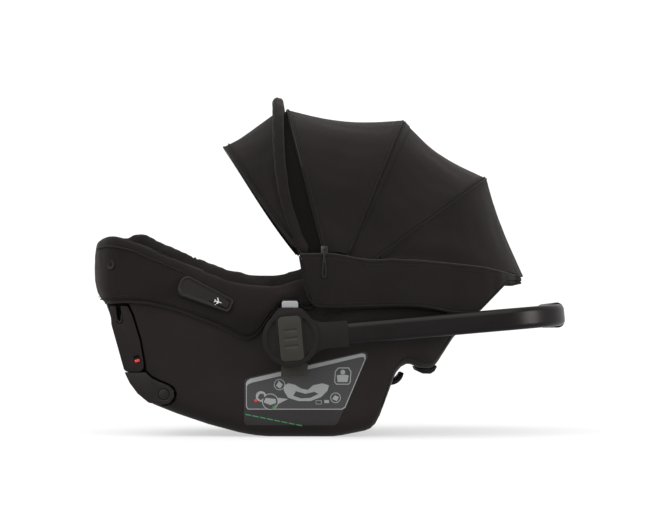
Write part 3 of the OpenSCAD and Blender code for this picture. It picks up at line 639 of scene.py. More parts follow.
# ---------------------------------------------------------------- paths round the seat
def plan_path(near, centre_x):
    """Even steps along a path round one end of the seat, from its near half, with outward normals. mm."""
    near = [Vector((x, y, 0)) for x, y in near]
    pts = near + [Vector((near[-1].x, 0, 0))] + [Vector((p.x, -p.y, 0)) for p in reversed(near)]
    path = resample(curve_points(pts, 2.0), 5)
    out = []
    for i, p in enumerate(path):
        t = tangent(path, i)
        n = Vector((t.y, -t.x, 0))
        if n.dot(Vector((p.x - centre_x, p.y, 0))) < 0:
            n = -n
        out.append((p, n))
    return out


def from_ends(path):
    """Each plan point and normal, with its number of steps from the nearer end."""
    return [(p, n, min(i, len(path) - 1 - i)) for i, (p, n) in enumerate(path)]


def nearest(path, x, sgn):
    """The path's point and normal closest to x, on one side."""
    return min(path, key=lambda c: (c[0].x - x) ** 2 + (0 if c[0].y * sgn > 0 else 1e6))


def end_x(z):
    """How far the foot end leans in below its rim."""
    return lookup([(140, 30), (186, 17), (208, 7), (228, 0)], z)


def leaned(p, n, d, z):
    """A point d outside the shell at height z, for a plan point at the rim."""
    w = n.x * n.x
    inset = w * end_x(z) + (1 - w) * DRAFT * (DRAFT_TOP - z)
    return V(p.x + n.x * (d - inset), p.y + n.y * (d - inset), z)


# ---------------------------------------------------------------- outer cover
COVER_LOW = [(-370, 204), (-330, 204), (-303, 205), (-272, 203), (-241, 196), (-221, 190), (-197, 181),
             (-170, 171), (-146, 159), (-132, 151), (-122, 148), (-112, 152), (-100, 164), (-92, 178),
             (-84, 188), (-76, 194), (-20, 196)]
cover_low = smooth_table(COVER_LOW, 7)
cover_path = plan_path([(x, -lookup(PLAN, x)) for x in (-22, -60, -100, -150, -200, -250, -300)]
                       + [(-326, -150), (-341, -134), (-349, -113), (-351, -88), (-351, -40)], -150)


def cover_edge(x):
    """Lower edge of the wrap, which clears the adapter release above the hub."""
    return max(cover_low(x), 208 if -75 < x < -40 else 0)


def foot_end(n):
    return max(0.0, -n.x) ** 2


def cover_profile(p, n, k_end):
    """Closed section of the padded wrap: outer face, over the rim, then back along the inside."""
    zl, zt = cover_edge(p.x), rim_z(p.x)
    h = zt - zl
    bulge = 2.2 * k_end
    foot = foot_end(n)
    outer = [(2.6 - 3.6 * foot, zl - 0.4), (5.2 - 4.2 * foot, zl + 0.8), (6.6 * k_end + 0.2 - 2.6 * foot,
            zl + 4), (6.4 + bulge * 0.5 + 0.6 * foot, zl + h * 0.18), (6.6 + bulge, zl + h * 0.38),
             (6.6 + bulge, zl + h * 0.62), (6.6 + bulge * 0.6, zl + h * 0.84), (6.0 + bulge * 0.2,
            zt - 0.5), (4.6, zt + 4.2), (1.8, zt + 7.4), (-2.5, zt + 8.8), (-8, zt + 9), (-13, zt + 8.2),
             (-16.5, zt + 5.6)]
    inner = [(-17.5, zt + 1.2), (-8, zt + 2.2), (0.2, zt + 1.6), (1.0, zt - 3), (1.0, zl + h * 0.6),
             (1.0, zl + h * 0.3), (0.9, zl + 3)]
    return [leaned(p, n, d, z) for d, z in outer + inner]


rings = [cover_profile(p, n, ease(0.3 + i / 5)) for p, n, i in from_ends(cover_path)]
cover = loft("outer_cover_wrap", rings, "cover")
subdivide(cover)
wrinkle(cover, 0.0011, 22, 2.0)
wrinkle(cover, 0.0006, 70, 9.0)
put(cover, "carrier", "outer_cover")


def along_cover(zfun, d, hi=1e9, tuck=0.0):
    """Points on the wrap at height zfun(x). tuck draws them in at the foot end."""
    return [leaned(p, n, d - tuck * foot_end(n), zfun(p.x)) for p, n in cover_path if p.x <= hi]


low = along_cover(lambda x: cover_edge(x) + 0.6, 4.6, tuck=4.6)
high = along_cover(lambda x: cover_edge(x) + 6.2, 7.6, tuck=1.6)
seam = along_cover(lambda x: cover_edge(x) + 9.6, 8.3, tuck=0.5)
sewn_rope("cover_piping_low", low, 0.0018, "piping")
sewn_rope("cover_piping_high", high, 0.0009, "binding", 6)
sewn(stitches("cover_stitch_low", seam, [n for p, n in cover_path]))
# Thin joining seam along the rim, beside the buckle
sewn_rope("cover_seam_rim", along_cover(lambda x: rim_z(x) + 8.2, -1.5, hi=-30), 0.0009, "binding", 6)

# Curved bound seam of the foot muff: rises to the corner and dies away beside the badge
SEAM = [(-346, 292), (-330, 293), (-300, 287), (-265, 276), (-237, 266), (-215, 262)]
for sgn, sd in SIDES:
    pts = [leaned(*nearest(cover_path, q.x, sgn), 7.9, min(q.z, rim_z(q.x) - 6))
           for q in curve_points([(x, 0, z) for x, z in SEAM], 4)]
    sewn_rope("bound_seam_" + sd, pts, lambda t: 0.0014 * (1 - 0.6 * t), "piping")

# Small round generic badge on the foot muff
BADGE = [(4.6, -1.6), (7.6, -1.6), (7.6, 0.3), (7.1, 0.9), (6.3, 0.9), (5.8, 0.2), (4.6, 0.0), (3.2, 0.0)]
for sgn, sd in SIDES:
    p, n = nearest(cover_path, -326, sgn)
    centre, across, up = leaned(p, n, 8.6, 262), Vector((-n.y, n.x, 0)), Vector((0, 0, 1))
    o = turned("muff_badge_" + sd, BADGE, "trim",
               lambda a, r, h: centre + (across * cos(a) + up * sin(a)) * (r * MM) + n * (h * MM), 40, 30)
    put(o, "carrier")


# ---------------------------------------------------------------- foam liner and seat padding
PAD_RISE = [(-336, 2.8), (-310, 9.8), (-300, 18.2), (-290, 25.2), (-270, 29.96), (-250, 28.56), (-40, 28),
            (20, 22.4), (266, 14)]


def mix(a, b, t):
    return a + (b - a) * t


def inflate(o, pressure, frames, cap, grow=0.02, hold=None):
    """Short cloth run: the stuffed cover swells a little, by at most cap, except where hold(co) is 1."""
    rest = [v.co.copy() for v in o.data.vertices]
    m = o.modifiers.new("cloth", "CLOTH")
    s = m.settings
    if hold:
        g = o.vertex_groups.new(name="hold")
        for v in o.data.vertices:
            w = clamp(hold(v.co))
            if w > 0:
                g.add([v.index], w, "REPLACE")
        s.vertex_group_mass = "hold"
    s.quality = 4
    s.mass = 0.3
    s.tension_stiffness = s.compression_stiffness = s.shear_stiffness = 12
    s.bending_stiffness = 0.4
    s.shrink_min = -grow
    s.use_pressure = True
    s.uniform_pressure_force = pressure
    s.effector_weights.gravity = 0
    m.collision_settings.use_collision = False
    m.point_cache.frame_start, m.point_cache.frame_end = 1, frames
    for f in range(1, frames + 1):
        scene.frame_set(f)
    dg = bpy.context.evaluated_depsgraph_get()
    out = [v.co.copy() for v in o.evaluated_get(dg).data.vertices]
    o.modifiers.clear()
    o.vertex_groups.clear()
    scene.frame_set(1)
    for v, a, b in zip(o.data.vertices, rest, out):
        d = b - a
        v.co = a + d * min(1.0, cap / max(d.length, 1e-9))
    o.data.update()


def node_copy(node, mat):
    """A welded copy of a CAD node's mesh, with its flat faces made whole."""
    name, weld = node + "_v", 0.00002
    me = frame["nodes"][node].data.copy()
    me.name = name
    me.materials.clear()
    me.materials.append(M[mat])
    bm = bmesh.new()
    bm.from_mesh(me)
    bmesh.ops.remove_doubles(bm, verts=bm.verts, dist=weld)
    bmesh.ops.dissolve_limit(bm, angle_limit=radians(0.6), verts=bm.verts, edges=bm.edges)
    bmesh.ops.recalc_face_normals(bm, faces=bm.faces)
    bm.to_mesh(me)
    bm.free()
    if "custom_normal" in me.attributes:
        me.attributes.remove(me.attributes["custom_normal"])
    for p in me.polygons:
        p.material_index = 0
    return new_object(name, me)


def hard(node, mat, width=0.0, segments=2, sharp=40):
    """The CAD node's own shape, with edges bevelled by width metres."""
    o = node_copy(node, mat)
    if width:
        bevel(o, width, segments, 30)
    smooth(o, sharp)
    put(o, frame["nodes"][node]["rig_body"], node)


def remeshed(node, voxel, rounds):
    o = node_copy(node, "pad")
    modify(o, "REMESH", mode="VOXEL", voxel_size=voxel, adaptivity=0)
    modify(o, "SMOOTH", factor=0.5, iterations=rounds)
    return o


def stuffed(node, voxel, fill, rounds, *cloth):
    """The CAD node as a stuffed piece: remeshed, rounded and swelled by a cloth run."""
    o = remeshed(node, voxel, rounds)
    inflate(o, *cloth)
    subdivide(o)
    smooth(o)
    put(o, frame["nodes"][node]["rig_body"], node)
    return o


def groove(o, test, lines, depth, width):
    """Presses quilting seams in where test(point, normal) holds. Each line gives a distance from it."""
    me = o.data
    me.update()
    normals = [v.normal.copy() for v in me.vertices]
    for v, n in zip(me.vertices, normals):
        for dist in lines:
            if test(v.co, n):
                k = abs(dist(v.co)) / width
                if k < 3:
                    v.co -= n * depth * exp(-k * k)
    me.update()


hard("foam_liner", "foam")
pad = remeshed("seat_pad", 0.0055, 12)


def pad_hold(co):
    """Keeps the hidden underside and outer walls still."""
    x, y, z = co.x / MM, abs(co.y) / MM, co.z / MM
    deep = side_y(x, z) - 22 - y
    return 1.0 if (z < rim_z(x) - 6 and deep < 4) or z < seat_z(x) + 4 else 0.0


def above_seat(c, n):
    return c.z > seat_z(c.x / MM) * MM + 0.004


def inner_wall(c, n):
    return abs(n.z) < 0.8 and abs(c.y) < (side_y(c.x / MM, c.z / MM) - 26) * MM


def below_pad_top(c):
    x = c.x / MM
    return c.z - (rim_z(x) + lookup(PAD_RISE, x) - 15) * MM


inflate(pad, 4.0, 14, 0.010, 0.008, pad_hold)
subdivide(pad)
# The cross seam is double, and one seam runs round the walls
groove(pad, above_seat, [lambda c: c.x + 0.197 + 0.10 * (c.z - 0.26),
                         lambda c: c.x + 0.203 + 0.10 * (c.z - 0.26)], 0.0030, 0.0017)
groove(pad, inner_wall, [below_pad_top], 0.0024, 0.0016)
wrinkle(pad, 0.0009, 22, 4.0)
wrinkle(pad, 0.0003, 70, 14.0)
smooth(pad)
put(pad, "carrier", "seat_pad")

wrinkle(stuffed("body_insert", 0.005, 0.5, 4, 4.0, 12, 0.007), 0.0010, 30, 6.0)
wrinkle(stuffed("head_support", 0.005, 0.6, 5, 4.0, 12, 0.008), 0.0009, 34, 8.0)
for node in ("shoulder_pads", "crotch_pad"):
    stuffed(node, 0.0028, 0.5, 3, 3.0, 10, 0.002)
for node in ("shoulder_straps", "lap_straps", "crotch_strap", "adjuster_strap"):
    hard(node, "webbing", 0.0003, 1)
for node, mat, slot, w in (
        ("chest_clip", "trim", "trim_plastic", 0.0014), ("buckle_body", "trim", "trim_plastic", 0.0016),
        ("buckle_tongues", "metal", "bright_metal", 0.0005),
        ("adjuster_bezel", "trim", "trim_plastic", 0.0012),
        ("harness_yoke", "metal", "bright_metal", 0.0004), ("buckle_button", "red", "red_plastic", 0.0012),
        ("adjuster_button", "shell", "trim_plastic", 0.0008)):
    hard(node, mat, w)


# ---------------------------------------------------------------- canopy boot: the skirt round the head end
BOOT_LOW = [(-44, 197), (10, 196.5), (44, 197.5), (107, 199.2), (139, 198.4), (165, 194), (187, 189),
            (223, 189), (236, 198.5), (273, 236), (303, 235)]
BOOT_LEFT = [(197, -16), (204, -23), (210, -28), (225, -33), (240, -36), (274, -42), (280, -42)]
boot_low = smooth_table(BOOT_LOW, 8)
boot_top = smooth_table(BOOT_TOP, 10)
BOOT_X = (-44, -20, 10, 60, 110, 150, 184, 205, 222, 240, 252, 262, 271, 278, 284, 289)
BOOT_OUT = [(-50, 17.2), (150, 17.2), (262, 14), (289, 11.5)]  # how far it stands outside the shell
BOOT_LIP = [(-50, 14.5), (150, 14.5), (262, 11), (289, 9.5), (303, 9.5)]
boot_path = plan_path([(x, -(lookup(PLAN, x) + lookup(BOOT_OUT, x))) for x in BOOT_X]
                      + [(295.5, -97.5), (300, -84), (300, -40)], 100)


def boot_point(p, n, d, z):
    x, y = p.x + n.x * d, p.y + n.y * d
    if p.x < 6 and abs(p.y) > 150:
        left = lookup(BOOT_LEFT, z)
        x = left + (p.x + 44) / 50 * (6 - left) + n.x * d
    return V(x, y, z)


def boot_profile(p, n, s):
    zl, zt = boot_low(p.x), boot_top(p.x)
    h = zt - zl
    lip = -lookup(BOOT_LIP, p.x)
    b = 1.3 * ease(s / 5)
    pts = [(lip, zl + 0.6), (-7, zl - 0.3), (-2.2, zl), (-0.4, zl + 2.2), (0, zl + 5),
           (b * 0.7, zl + h * 0.22), (b, zl + h * 0.45), (b * 0.8, zl + h * 0.68), (0.1, zl + h * 0.88),
           (-0.5, zt - 1.4), (-1.8, zt - 0.2), (-3.2, zt - 1.4), (-3.6, zt - 5), (-3.4, zl + h * 0.6),
           (-3.6, zl + h * 0.3), (-4.5, zl + 6), (lip, zl + 3.6)]
    return [boot_point(p, n, d, z) for d, z in pts]


boot = loft("canopy_boot_v", [boot_profile(p, n, i) for p, n, i in from_ends(boot_path)], "canopy")
subdivide(boot)
wrinkle(boot, 0.0009, 20, 3.0)
wrinkle(boot, 0.0005, 75, 12.0)
put(boot, "carrier", "canopy_boot")


def along_boot(zfun, d):
    return [boot_point(p, n, d, zfun(p.x)) for p, n in boot_path]


sewn_rope("boot_piping_top", along_boot(boot_top, -1.4), 0.0021, "piping")
sewn_rope("boot_piping_low", along_boot(lambda x: boot_low(x) + 0.6, -0.9), 0.0017, "binding")
ns = [n for p, n in boot_path]
sewn(stitches("boot_stitch_low", along_boot(lambda x: boot_low(x) + 6.5, 0.35), ns))
sewn(stitches("boot_stitch_top", along_boot(lambda x: boot_top(x) - 6.0, 0.1), ns))
end_line = [boot_point(*boot_path[0], -0.6, mix(197, 274, i / 29)) for i in range(30)]
for sgn, sd in SIDES:
    pts = [Vector((q.x, abs(q.y) * sgn, q.z)) for q in end_line]
    sewn(rope("boot_binding_" + sd, pts, 0.0017, "binding"))


# ---------------------------------------------------------------- canopy
FX, FZ = 10, 225  # the canopy's hinge line
CENTRE = Vector((FX * MM, 0, FZ * MM))
HALF = 189.5  # half width of the canopy
POWER = 2.8  # how square the arches are
HEM = [(30, 31), (92, 29), (135, 18), (196, 10.5), (264, 6), (300, 4)]
hem_angle = smooth_table(HEM, 12)


def arch_r(phi, reach):
    return reach * max(cos(phi), 0) ** (2 / POWER)


def arch_y(phi, half):
    return copysign(half * abs(sin(phi)) ** (2 / POWER), phi)


def fold_point(r, y, angle):
    a = radians(angle)
    return V(FX + r * cos(a), y, FZ + r * sin(a))


def phi_at(r, reach):
    return acos(min(1, (r / reach) ** (POWER / 2)))


def edge_angle(kind, r):
    if kind == "front":
        return 106.6 + 29 * max(0, 1 - r / 309) ** 1.3
    if kind == "visor":
        return 127.5 + 11 * max(0, 1 - r / 285) ** 1.5
    return {"vent": 104.4, "middle": 67.8, "rear": 36.2}.get(kind) or hem_angle(r)


def bend(o, a, b, weights):
    rest = [v.co.copy() for v in o.data.vertices]
    for v, w in zip(o.data.vertices, weights):
        w = clamp(w)
        v.co = Vector((0.5 - sin(asin(1 - 2 * w) / 3), 0, 0))
    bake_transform(o)
    for v, c in zip(o.data.vertices, rest):
        v.co = c
    o.data.update()
    return o


# Panels: the edge kind, its reach and its clearance at each end, then how much the cloth sags between
FRONT = ("vent", 293, 1.5, "middle", 289, 1.5, 9)
MIDDLE = ("middle", 289, 1.5, "rear", 297.5, 1.5, 10)
REAR = ("rear", 297.5, 1.5, "hem", 299, 0, 4)
VENT = ("front", 295, 5, "vent", 291, 1.5, 0)
VISOR = ("visor", 285, 0, "front", 296, 3, 3)


def panel_point(panel, start, phi, t, inset):
    """Point of a panel: phi goes over the arch, t from the front edge to the rear one."""
    ea, ra, ta, eb, rb, tb, sag = panel
    spread = radians(abs(edge_angle(ea, 290) - edge_angle(eb, 290)))
    straight = mix(ra, rb, t) * cos(spread / 2) / cos(spread * (t - 0.5))
    reach = straight - sag * sin(pi * t) - inset
    r = max(arch_r(phi, reach), start)
    angle = mix(edge_angle(ea, r) - ta / r * 57.3, edge_angle(eb, r) + tb / r * 57.3, t)
    return fold_point(r, arch_y(phi, HALF - inset), angle)


def canopy_panel(name, panel, start, bodies, replaces=None, mat="canopy", t1=1.0, rows=18, lift=0.0,
                 thick=1.2, folds=1.0):
    """Cloth sheet of one panel, from t = 0 to t1, with soft tension folds that fade at the hoops."""
    cols = 110
    end = phi_at(start, min(panel[1], panel[4]))
    verts, weights, faces, grid = [], [], [], {}
    for side, inset in (("out", -lift), ("in", thick - lift)):
        for i in range(cols + 1):
            phi = mix(-end, end, i / cols)
            for j in range(rows + 1):
                t = mix(0.0, t1, j / rows)
                p = panel_point(panel, start, phi, t, inset)
                mid = sin(pi * t)
                wave = sin(phi * 17 + 2.2 * sin(phi * 5 + t * 3)) * 0.9 + sin(phi * 41 + 5 * t) * 0.25
                low = ease((abs(phi) - 0.5) / 0.7)
                amount = folds * (0.0004 + 0.0016 * low) * mid * wave
                near_hoops = exp(-t * 12) + exp(-(1 - t) * 12)
                edge = folds * 0.0004 * sin(phi * 75 + 4 * sin(phi * 11)) * near_hoops
                grid[side, i, j] = len(verts)
                verts.append(p + (p - CENTRE).normalized() * (amount + edge))
                weights.append(1 - t)
    square = ((0, 0), (1, 0), (1, 1), (0, 1))
    for i in range(cols):
        for j in range(rows):
            faces.append([grid["out", i + a, j + b] for a, b in square])
            faces.append([grid["in", i + a, j + b] for a, b in reversed(square)])
    for i in range(cols):
        for j in (0, rows):
            faces.append((grid["out", i, j], grid["out", i + 1, j], grid["in", i + 1, j], grid["in", i, j]))
    for j in range(rows):
        for i in (0, cols):
            faces.append((grid["out", i, j], grid["out", i, j + 1], grid["in", i, j + 1], grid["in", i, j]))
    o = mesh_object(name, verts, faces, mat)
    wrinkle(o, 0.0005 * folds, 30, 3.0)
    smooth(o, 60)
    if len(bodies) == 2:
        bend(o, *bodies, weights)
        if replaces:
            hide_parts(replaces)
    else:
        put(o, bodies[0], replaces)


canopy_panel("panel_front_v", FRONT, 55, ("middle_hoop", "front_hoop"), "panel_front")
canopy_panel("panel_middle_v", MIDDLE, 55, ("rear_hoop", "middle_hoop"), "panel_middle")
canopy_panel("panel_rear_v", REAR, 84, ("carrier", "rear_hoop"), "panel_rear")
# The vent's net is near-black: partly its own colour, partly painted shade for the dim canopy inside
canopy_panel("vent_mesh_v", VENT, 56, ("front_hoop",), "vent_mesh", "mesh", rows=8, folds=0.4)
canopy_panel("visor_panel_v", VISOR, 84, ("front_hoop", "visor"), "visor_panel")
canopy_panel("pocket_band", ("middle", 289, 2.5, "rear", 297.5, 1.5, 10), 100, ("rear_hoop", "middle_hoop"),
             t1=0.075, rows=3, lift=0.9, thick=0.7, folds=0.4)


def hoop_line(kind, reach, half, start, shift=0.0):
    """Points along a hoop, shift millimetres forward of it."""
    end = phi_at(start, reach)
    pts = []
    for i in range(151):
        phi = mix(-end, end, i / 150)
        r = arch_r(phi, reach)
        pts.append(fold_point(r, arch_y(phi, half), edge_angle(kind, r) + shift / r * 57.3))
    return pts


# Seams and tapes along the hoops: name, edge, reach, half width, lowest radius, shift, radius, material, body
for name, kind, reach, half, start, shift, radius, mat, rider in (
        ("seam_middle", "middle", 289.0, 189.5, 58, 0, 0.0016, "canopy", "middle_hoop"),
        ("seam_middle_b", "middle", 289.2, 189.7, 58, -3.4, 0.0011, "binding", "middle_hoop"),
        ("seam_rear", "rear", 297.6, 189.6, 58, 0, 0.0018, "canopy", "rear_hoop"),
        ("seam_rear_b", "rear", 297.6, 189.7, 58, 3.4, 0.0011, "binding", "rear_hoop"),
        ("zip_tape", "vent", 292.6, 189.6, 60, 0, 0.0030, "binding", "front_hoop"),
        ("zip_coil", "vent", 294.2, 190.8, 60, 0.6, 0.0014, "trim", "front_hoop"),
        ("visor_hem", "visor", 285.0, 189.6, 88, 0, 0.0017, "canopy", "visor"),
        ("visor_hem_b", "visor", 284.6, 189.4, 96, -9, 0.0010, "binding", "visor")):
    sewn(rope(name, resample(hoop_line(kind, reach, half, start, shift), 0.005), radius, mat), rider)


def padded_tube(name, pts, r, mat):
    """Padded tube along a hoop, with a sewn groove along its outer side."""
    rings = []
    n = len(pts)
    for i, p in enumerate(pts):
        t = tangent(pts, i)
        out = p - CENTRE
        out = (out - t * out.dot(t)).normalized()
        side = t.cross(out)
        k = ease(0.55 + min(i, n - 1 - i) / (n - 1) * 30)
        ring = []
        for q in range(28):
            a = 2 * pi * q / 28
            g = abs((a - 0.55 + pi) % (2 * pi) - pi)
            rr = r * k * (1 + 0.03 * sin(i * 0.9) * sin(2 * a) - 0.17 * exp(-(g / 0.20) ** 2))
            ring.append(p + out * (rr * cos(a)) + side * (rr * sin(a)))
        rings.append(ring)
    return loft(name, rings, mat)


o = padded_tube("front_bow_pad_v", resample(hoop_line("front", 309, 184, 68), 0.004), 0.0089, "canopy")
wrinkle(o, 0.0005, 60, 6.0)
put(o, "front_hoop", "front_bow_pad")
for node in ("front_bow", "middle_bow", "rear_bow", "visor_bow"):
    hard(node, "bow", sharp=50)
hard("canopy_brackets", "trim", 0.0004)
hard("zip_slider", "dark_metal", 0.0009, 3)


def flat_piece(name, outline, y0, y1, mat, width=0.0004):
    """Slab with soft edges."""
    o = slab(name, outline, y0, y1, mat)
    bevel(o, width, 2, 40)
    smooth(o, 40)
    return o


TAB = [(-6.6, 285.6), (-3.4, 285.6), (-2.9, 279), (-3.4, 272), (-2.6, 268), (-1.2, 246), (-2.6, 241),
       (-5, 240.2), (-7.4, 241), (-8.8, 246), (-7.4, 268), (-6.6, 272), (-7.1, 279)]
TAB_FACE = [(-6.4, 264), (-3.6, 264), (-2.7, 248), (-3.6, 244.5), (-6.4, 244.5), (-7.3, 248)]
put(join("zip_tab_v", [flat_piece("t", TAB, -197.6, -196.6, "bow"),
                       flat_piece("t", TAB_FACE, -197.8, -197.4, "binding", 0.0002)]),
    "zip_tab", "zip_pull")

for name, panel, start, t, rider in (
        ("stitch_a", FRONT, 58, 0.03, "front_hoop"), ("stitch_b", FRONT, 58, 0.965, "middle_hoop"),
        ("stitch_c", MIDDLE, 58, 0.965, "rear_hoop"), ("stitch_d", REAR, 84, 0.035, "rear_hoop"),
        ("stitch_e", VISOR, 90, 0.07, "visor")):
    end = phi_at(start, min(panel[1], panel[4])) * 0.985
    pts = [panel_point(panel, start, mix(-end, end, i / 160), t, -0.4) for i in range(161)]
    sewn(stitches(name, pts, [(p - CENTRE).normalized() for p in pts], lift=0.0), rider)


# ---------------------------------------------------------------- handle, hubs, latch and other hard parts
HARD = [
    ("handle_tube", "tube", "tube_metal", 0.0), ("handle_grip", "grip", "grip_vinyl", 0.0010),
    ("handle_hubs", "hub", "shell_plastic", 0.0011), ("hub_button_#", "green", "grey_green", 0.0011),
    ("lock_gear_#", "gear", "gear_plastic", 0.0), ("hub_spring_#", "metal", "bright_metal", 0.0),
    ("hub_bolts", "metal", "bright_metal", 0.0005), ("hub_mounts", "hub", "shell_plastic", 0.0009),
    ("adapter_sockets", "green", "grey_green", 0.0008),
    ("release_button_#", "silver", "button_silver", 0.0030),
    ("adapter_pawl_#", "gear", "gear_plastic", 0.0003), ("latch_shaft", "trim", "bright_metal", 0.0006),
    ("latch_arms", "trim", "trim_plastic", 0.0016), ("latch_connectors", "shell", "trim_plastic", 0.0018),
    ("latch_release_#", "red", "red_plastic", 0.0006), ("rear_stop", "rubber", "foot_rubber", 0.0010),
    ("rear_belt_hook", "trim", "shell_plastic", 0.0010)]
for node, mat, slot, w in HARD:
    for name in [node.replace("#", sd) for sgn, sd in SIDES] if "#" in node else [node]:
        hard(name, mat, w, 3 if w > 0.001 else 2)


# Steel lip in each jaw
JAW_LIP = [(-319.6, 178), (-318.4, 174.6), (-316.2, 173.4), (-314.0, 174.6), (-312.9, 178), (-313.4, 186),
           (-314.2, 186), (-314.0, 178.4), (-314.8, 175.9), (-316.2, 175), (-317.6, 175.9), (-318.6, 178)]
for sgn, sd in SIDES:
    y0, y1 = sorted((sgn * 153.4, sgn * 150.2))
    put(flat_piece("jaw_lip_" + sd, JAW_LIP, y0, y1, "dark_metal", 0.0002), "anchor_frame")


def capsule(grow):
    """Outline of the oblong badge in its own plane (mm)."""
    pts = []
    for cx, cy, r, a0 in ((35.5, 4.5, 6.5, 0), (-33, 4.5, 11.5, 90), (-33, -4.5, 11.5, 180),
                          (35.5, -4.5, 6.5, 270)):
        for k in range(8):
            a = radians(a0 + 90 * k / 7)
            pts.append((cx + (r + grow) * cos(a), cy + (r + grow) * sin(a)))
    return pts


def on_guide(u, v, y, sgn):
    """The badge's own plane, u along it and v across it, y from the middle of the seat."""
    tilt = radians(23.7)
    return V(-183 + u * cos(tilt) + v * sin(tilt), sgn * y, 215 - u * sin(tilt) + v * cos(tilt))


# Oblong badges: a domed capsule with a raised rim round a sunk face. Each ring has an offset and a height.
RIM_STEPS = [(-1.0, 175.0), (0.2, 175.4), (0.2, 178.4), (-0.4, 179.4), (-1.5, 179.9), (-2.8, 179.8),
             (-3.6, 179.2), (-4.1, 178.5), (-5.2, 178.4), (-6.2, 178.4)]
for sgn, sd in SIDES:
    rings = [[on_guide(u, v, y, sgn) for u, v in capsule(grow)] for grow, y in RIM_STEPS]
    put(loft("belt_guide_" + sd, rings, "trim", sharp=50), "carrier", "belt_guides")
    # Painted shade: a near-black rope inside the rim, at the end that the belt goes round, stands for the
    # shadowed slot
    arc = [p for p in capsule(-4.6) if p[0] > 20]
    slot_shade_line = [on_guide(u, v, 178.5, sgn) for u, v in [(6, -5.6)] + arc[-8:] + arc[:8] + [(30, 6.2)]]
    slot_shade_rope = rope("guide_slot_shade_" + sd, resample(slot_shade_line, 0.002),
                     lambda t: 0.0011 * sin(pi * (0.12 + 0.76 * t)), "mesh", 6)
    put(slot_shade_rope, "carrier")


def pictogram(name, shapes, at, tilt, y, mat, sgn, thick, scale):
    """Flat raised picture from closed shapes, tilted in the side plane."""
    verts, faces = [], []
    ca, sa = cos(radians(tilt)), sin(radians(tilt))
    for shape in shapes:
        n, base = len(shape), len(verts)
        for d in (0, thick):
            for u, v in shape:
                u, v = u * scale, v * scale
                verts.append(V(at[0] + u * ca + v * sa, sgn * (y + d), at[1] - u * sa + v * ca))
        faces.append(tuple(base + k for k in range(n)))
        faces.append(tuple(base + n + k for k in range(n - 1, -1, -1)))
        for k in range(n):
            kk = (k + 1) % n
            faces.append((base + k, base + kk, base + n + kk, base + n + k))
    return mesh_object(name, verts, faces, mat)


# Badge picture: a generic aeroplane in the badge's recess
PLANE = [[(-7, 0.5), (-6.4, 0.8), (6.0, 0.8), (7.4, 0.0), (6.0, -0.8), (-6.4, -0.8), (-7, -0.5)],
         [(-0.6, 0.7), (2.2, 0.7), (-2.6, 7.2), (-4.0, 7.2)],
         [(-0.6, -0.7), (-4.0, -7.2), (-2.6, -7.2), (2.2, -0.7)],
         [(-5.8, 0.6), (-4.4, 0.6), (-6.6, 3.2), (-7.6, 3.2)],
         [(-5.8, -0.6), (-7.6, -3.2), (-6.6, -3.2), (-4.4, -0.6)]]
for sgn, sd in SIDES:
    plane = pictogram("guide_picture_" + sd, PLANE, (-165.5, 205.2), 19, 178.5, "white", sgn, 0.35, 0.80)
    put(plane, "carrier")


# Side label: pictograms without any lettering
def side_sheet(outline, off, mat, sgn):
    """Thin patch off millimetres outside the side wall. The outline is in x and z (mm)."""
    bm = bmesh.new()
    bm.faces.new([bm.verts.new(V(x, 0, z)) for x, z in outline])
    xs = [p[0] for p in outline]
    cuts = [(V(x, 0, 0), (1, 0, 0)) for x in range(ceil(min(xs) / 10) * 10, ceil(max(xs)), 10)]
    cuts += [(V(0, 0, z), (0, 0, 1)) for z in (20, 24, 29, 35)]
    for point, normal in cuts:
        bmesh.ops.bisect_plane(bm, geom=bm.verts[:] + bm.edges[:] + bm.faces[:], plane_co=point,
                               plane_no=normal)
    for v in bm.verts:
        v.co.y = sgn * (wall_y(v.co.x / MM, v.co.z / MM) + off) * MM
    me = bpy.data.meshes.new("patch")
    bm.to_mesh(me)
    bm.free()
    me.materials.append(M[mat])
    return modify(new_object("patch", me), "SOLIDIFY", thickness=0.25 * MM, offset=1 if sgn < 0 else -1)


def circle(x, z, r, n=28):
    return [(x + r * cos(2 * pi * k / n), z + r * sin(2 * pi * k / n)) for k in range(n)]


def box2(x0, z0, x1, z1):
    return [(x0, z0), (x1, z0), (x1, z1), (x0, z1)]


CARRIER = [(-66, 70), (-60, 60), (-44, 55), (-26, 55), (-10, 61), (0, 71), (2, 79), (-8, 82), (-22, 79),
           (-30, 72), (-40, 74), (-50, 80), (-60, 82), (-67, 78)]
PALE, DARK, GREEN, FILM = "label_pale", "label_dark", "label_green", "label"
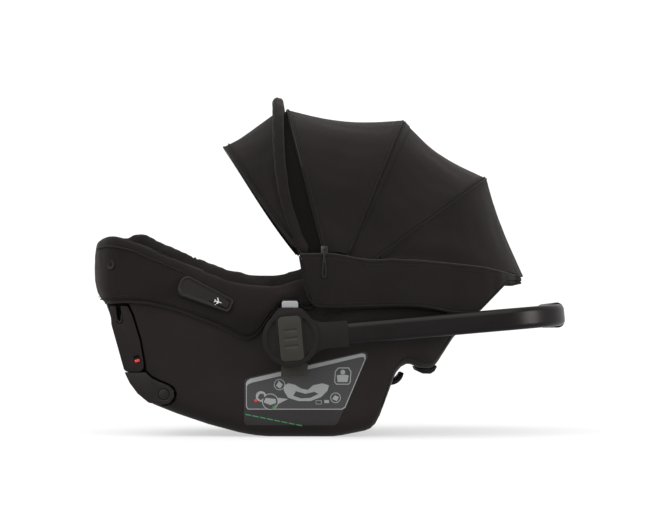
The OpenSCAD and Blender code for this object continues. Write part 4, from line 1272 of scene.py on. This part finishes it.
# Each patch: its outline, how far it stands off the wall, and its material
LABEL_PARTS = [
    ([(-127, 22), (-123, 18), (10, 18), (15, 21), (61, 122), (60, 128), (54, 130), (-119, 91), (-125, 88),
      (-127, 83)], 0.30, DARK),
    ([(-124, 46), (-121, 42), (22, 42), (27, 45), (58, 120), (57, 126), (52, 127.5), (-117, 89), (-122, 86),
      (-124, 82)], 0.50, PALE),
    ([(-122.6, 46.5), (-120, 43.4), (21, 43.4), (26, 46.5), (56.4, 119), (54, 122), (49, 121.5),
      (-116, 82.5), (-121, 80), (-122.6, 77)], 0.72, FILM),
    (circle(-101, 62, 8.0), 0.95, PALE),
    ([(-106, 60), (-102, 56), (-96, 60), (-97, 66), (-103, 66)], 1.15, FILM),
    (circle(-87, 54, 12.5), 0.9, PALE),
    (circle(-87, 54, 11.2), 1.0, FILM),
    ([(-97, 53), (-87, 49), (-78, 52), (-79, 58), (-94, 60)], 1.15, PALE),
    ([(-76, 60), (-76, 50), (-60, 58)], 0.92, PALE),
    (circle(-73, 80, 8.5), 0.9, PALE),
    (circle(-73, 80, 7.4), 1.0, FILM),
    ([(-78, 78), (-72, 74), (-68, 80), (-74, 86)], 1.15, PALE),
    (circle(-109, 56, 2.4), 1.3, "red"),
    ([(-84, 45), (-82, 43), (-77, 49), (-79, 50.5), (-82, 47), (-83.5, 47.5)], 1.35, GREEN),
    (CARRIER, 0.95, PALE),
    ([(-52, 63), (-40, 59), (-26, 60), (-14, 66), (-20, 69), (-34, 66), (-48, 70)], 1.15, FILM),
    ([(-46, 80), (-44, 92), (-36, 98), (-28, 95), (-24, 84), (-22, 78), (-24.5, 78), (-27, 86), (-30.5, 93),
      (-36, 95.5), (-42, 90.5), (-43.5, 80)], 0.95, PALE),
    ([(10, 84), (13, 80), (32, 80), (35, 84), (36, 100), (32, 106), (16, 106), (11, 100)], 0.9, PALE),
    ([(11.4, 84.4), (13.8, 81.4), (31.4, 81.4), (33.6, 84.4), (34.6, 99.6), (31.2, 104.6), (16.8, 104.6),
      (12.4, 99.6)], 1.0, FILM),
    (circle(23, 99, 3.6), 1.15, PALE),
    ([(15, 84), (30, 84), (32, 94), (27, 95), (19, 95), (14, 94)], 1.15, PALE),
    (circle(12, 60, 8), 0.9, PALE),
    (circle(12, 60, 6.8), 1.0, FILM),
    ([(7, 58), (14, 55), (17, 61), (11, 64)], 1.15, PALE),
    (box2(-18, 50, -9, 56), 0.95, PALE),
    (box2(-17.2, 50.8, -9.8, 55.2), 1.1, FILM),
    (box2(-5, 52, 2, 56.5), 0.95, PALE),
]
for sgn, sd in SIDES:
    parts = [side_sheet(poly, off, mat, sgn) for poly, off, mat in LABEL_PARTS]
    for k in range(8):
        # One dash of the green line
        x, z = -125 + 11 * k, -2.2 * k
        dash = [(x, z + 33.8), (x + 9, z + 32), (x + 9, z + 33.8), (x, z + 35.6)]
        parts.append(side_sheet(dash, 0.9, GREEN, sgn))
    put(join("side_label_" + sd, parts), "carrier", "side_labels")
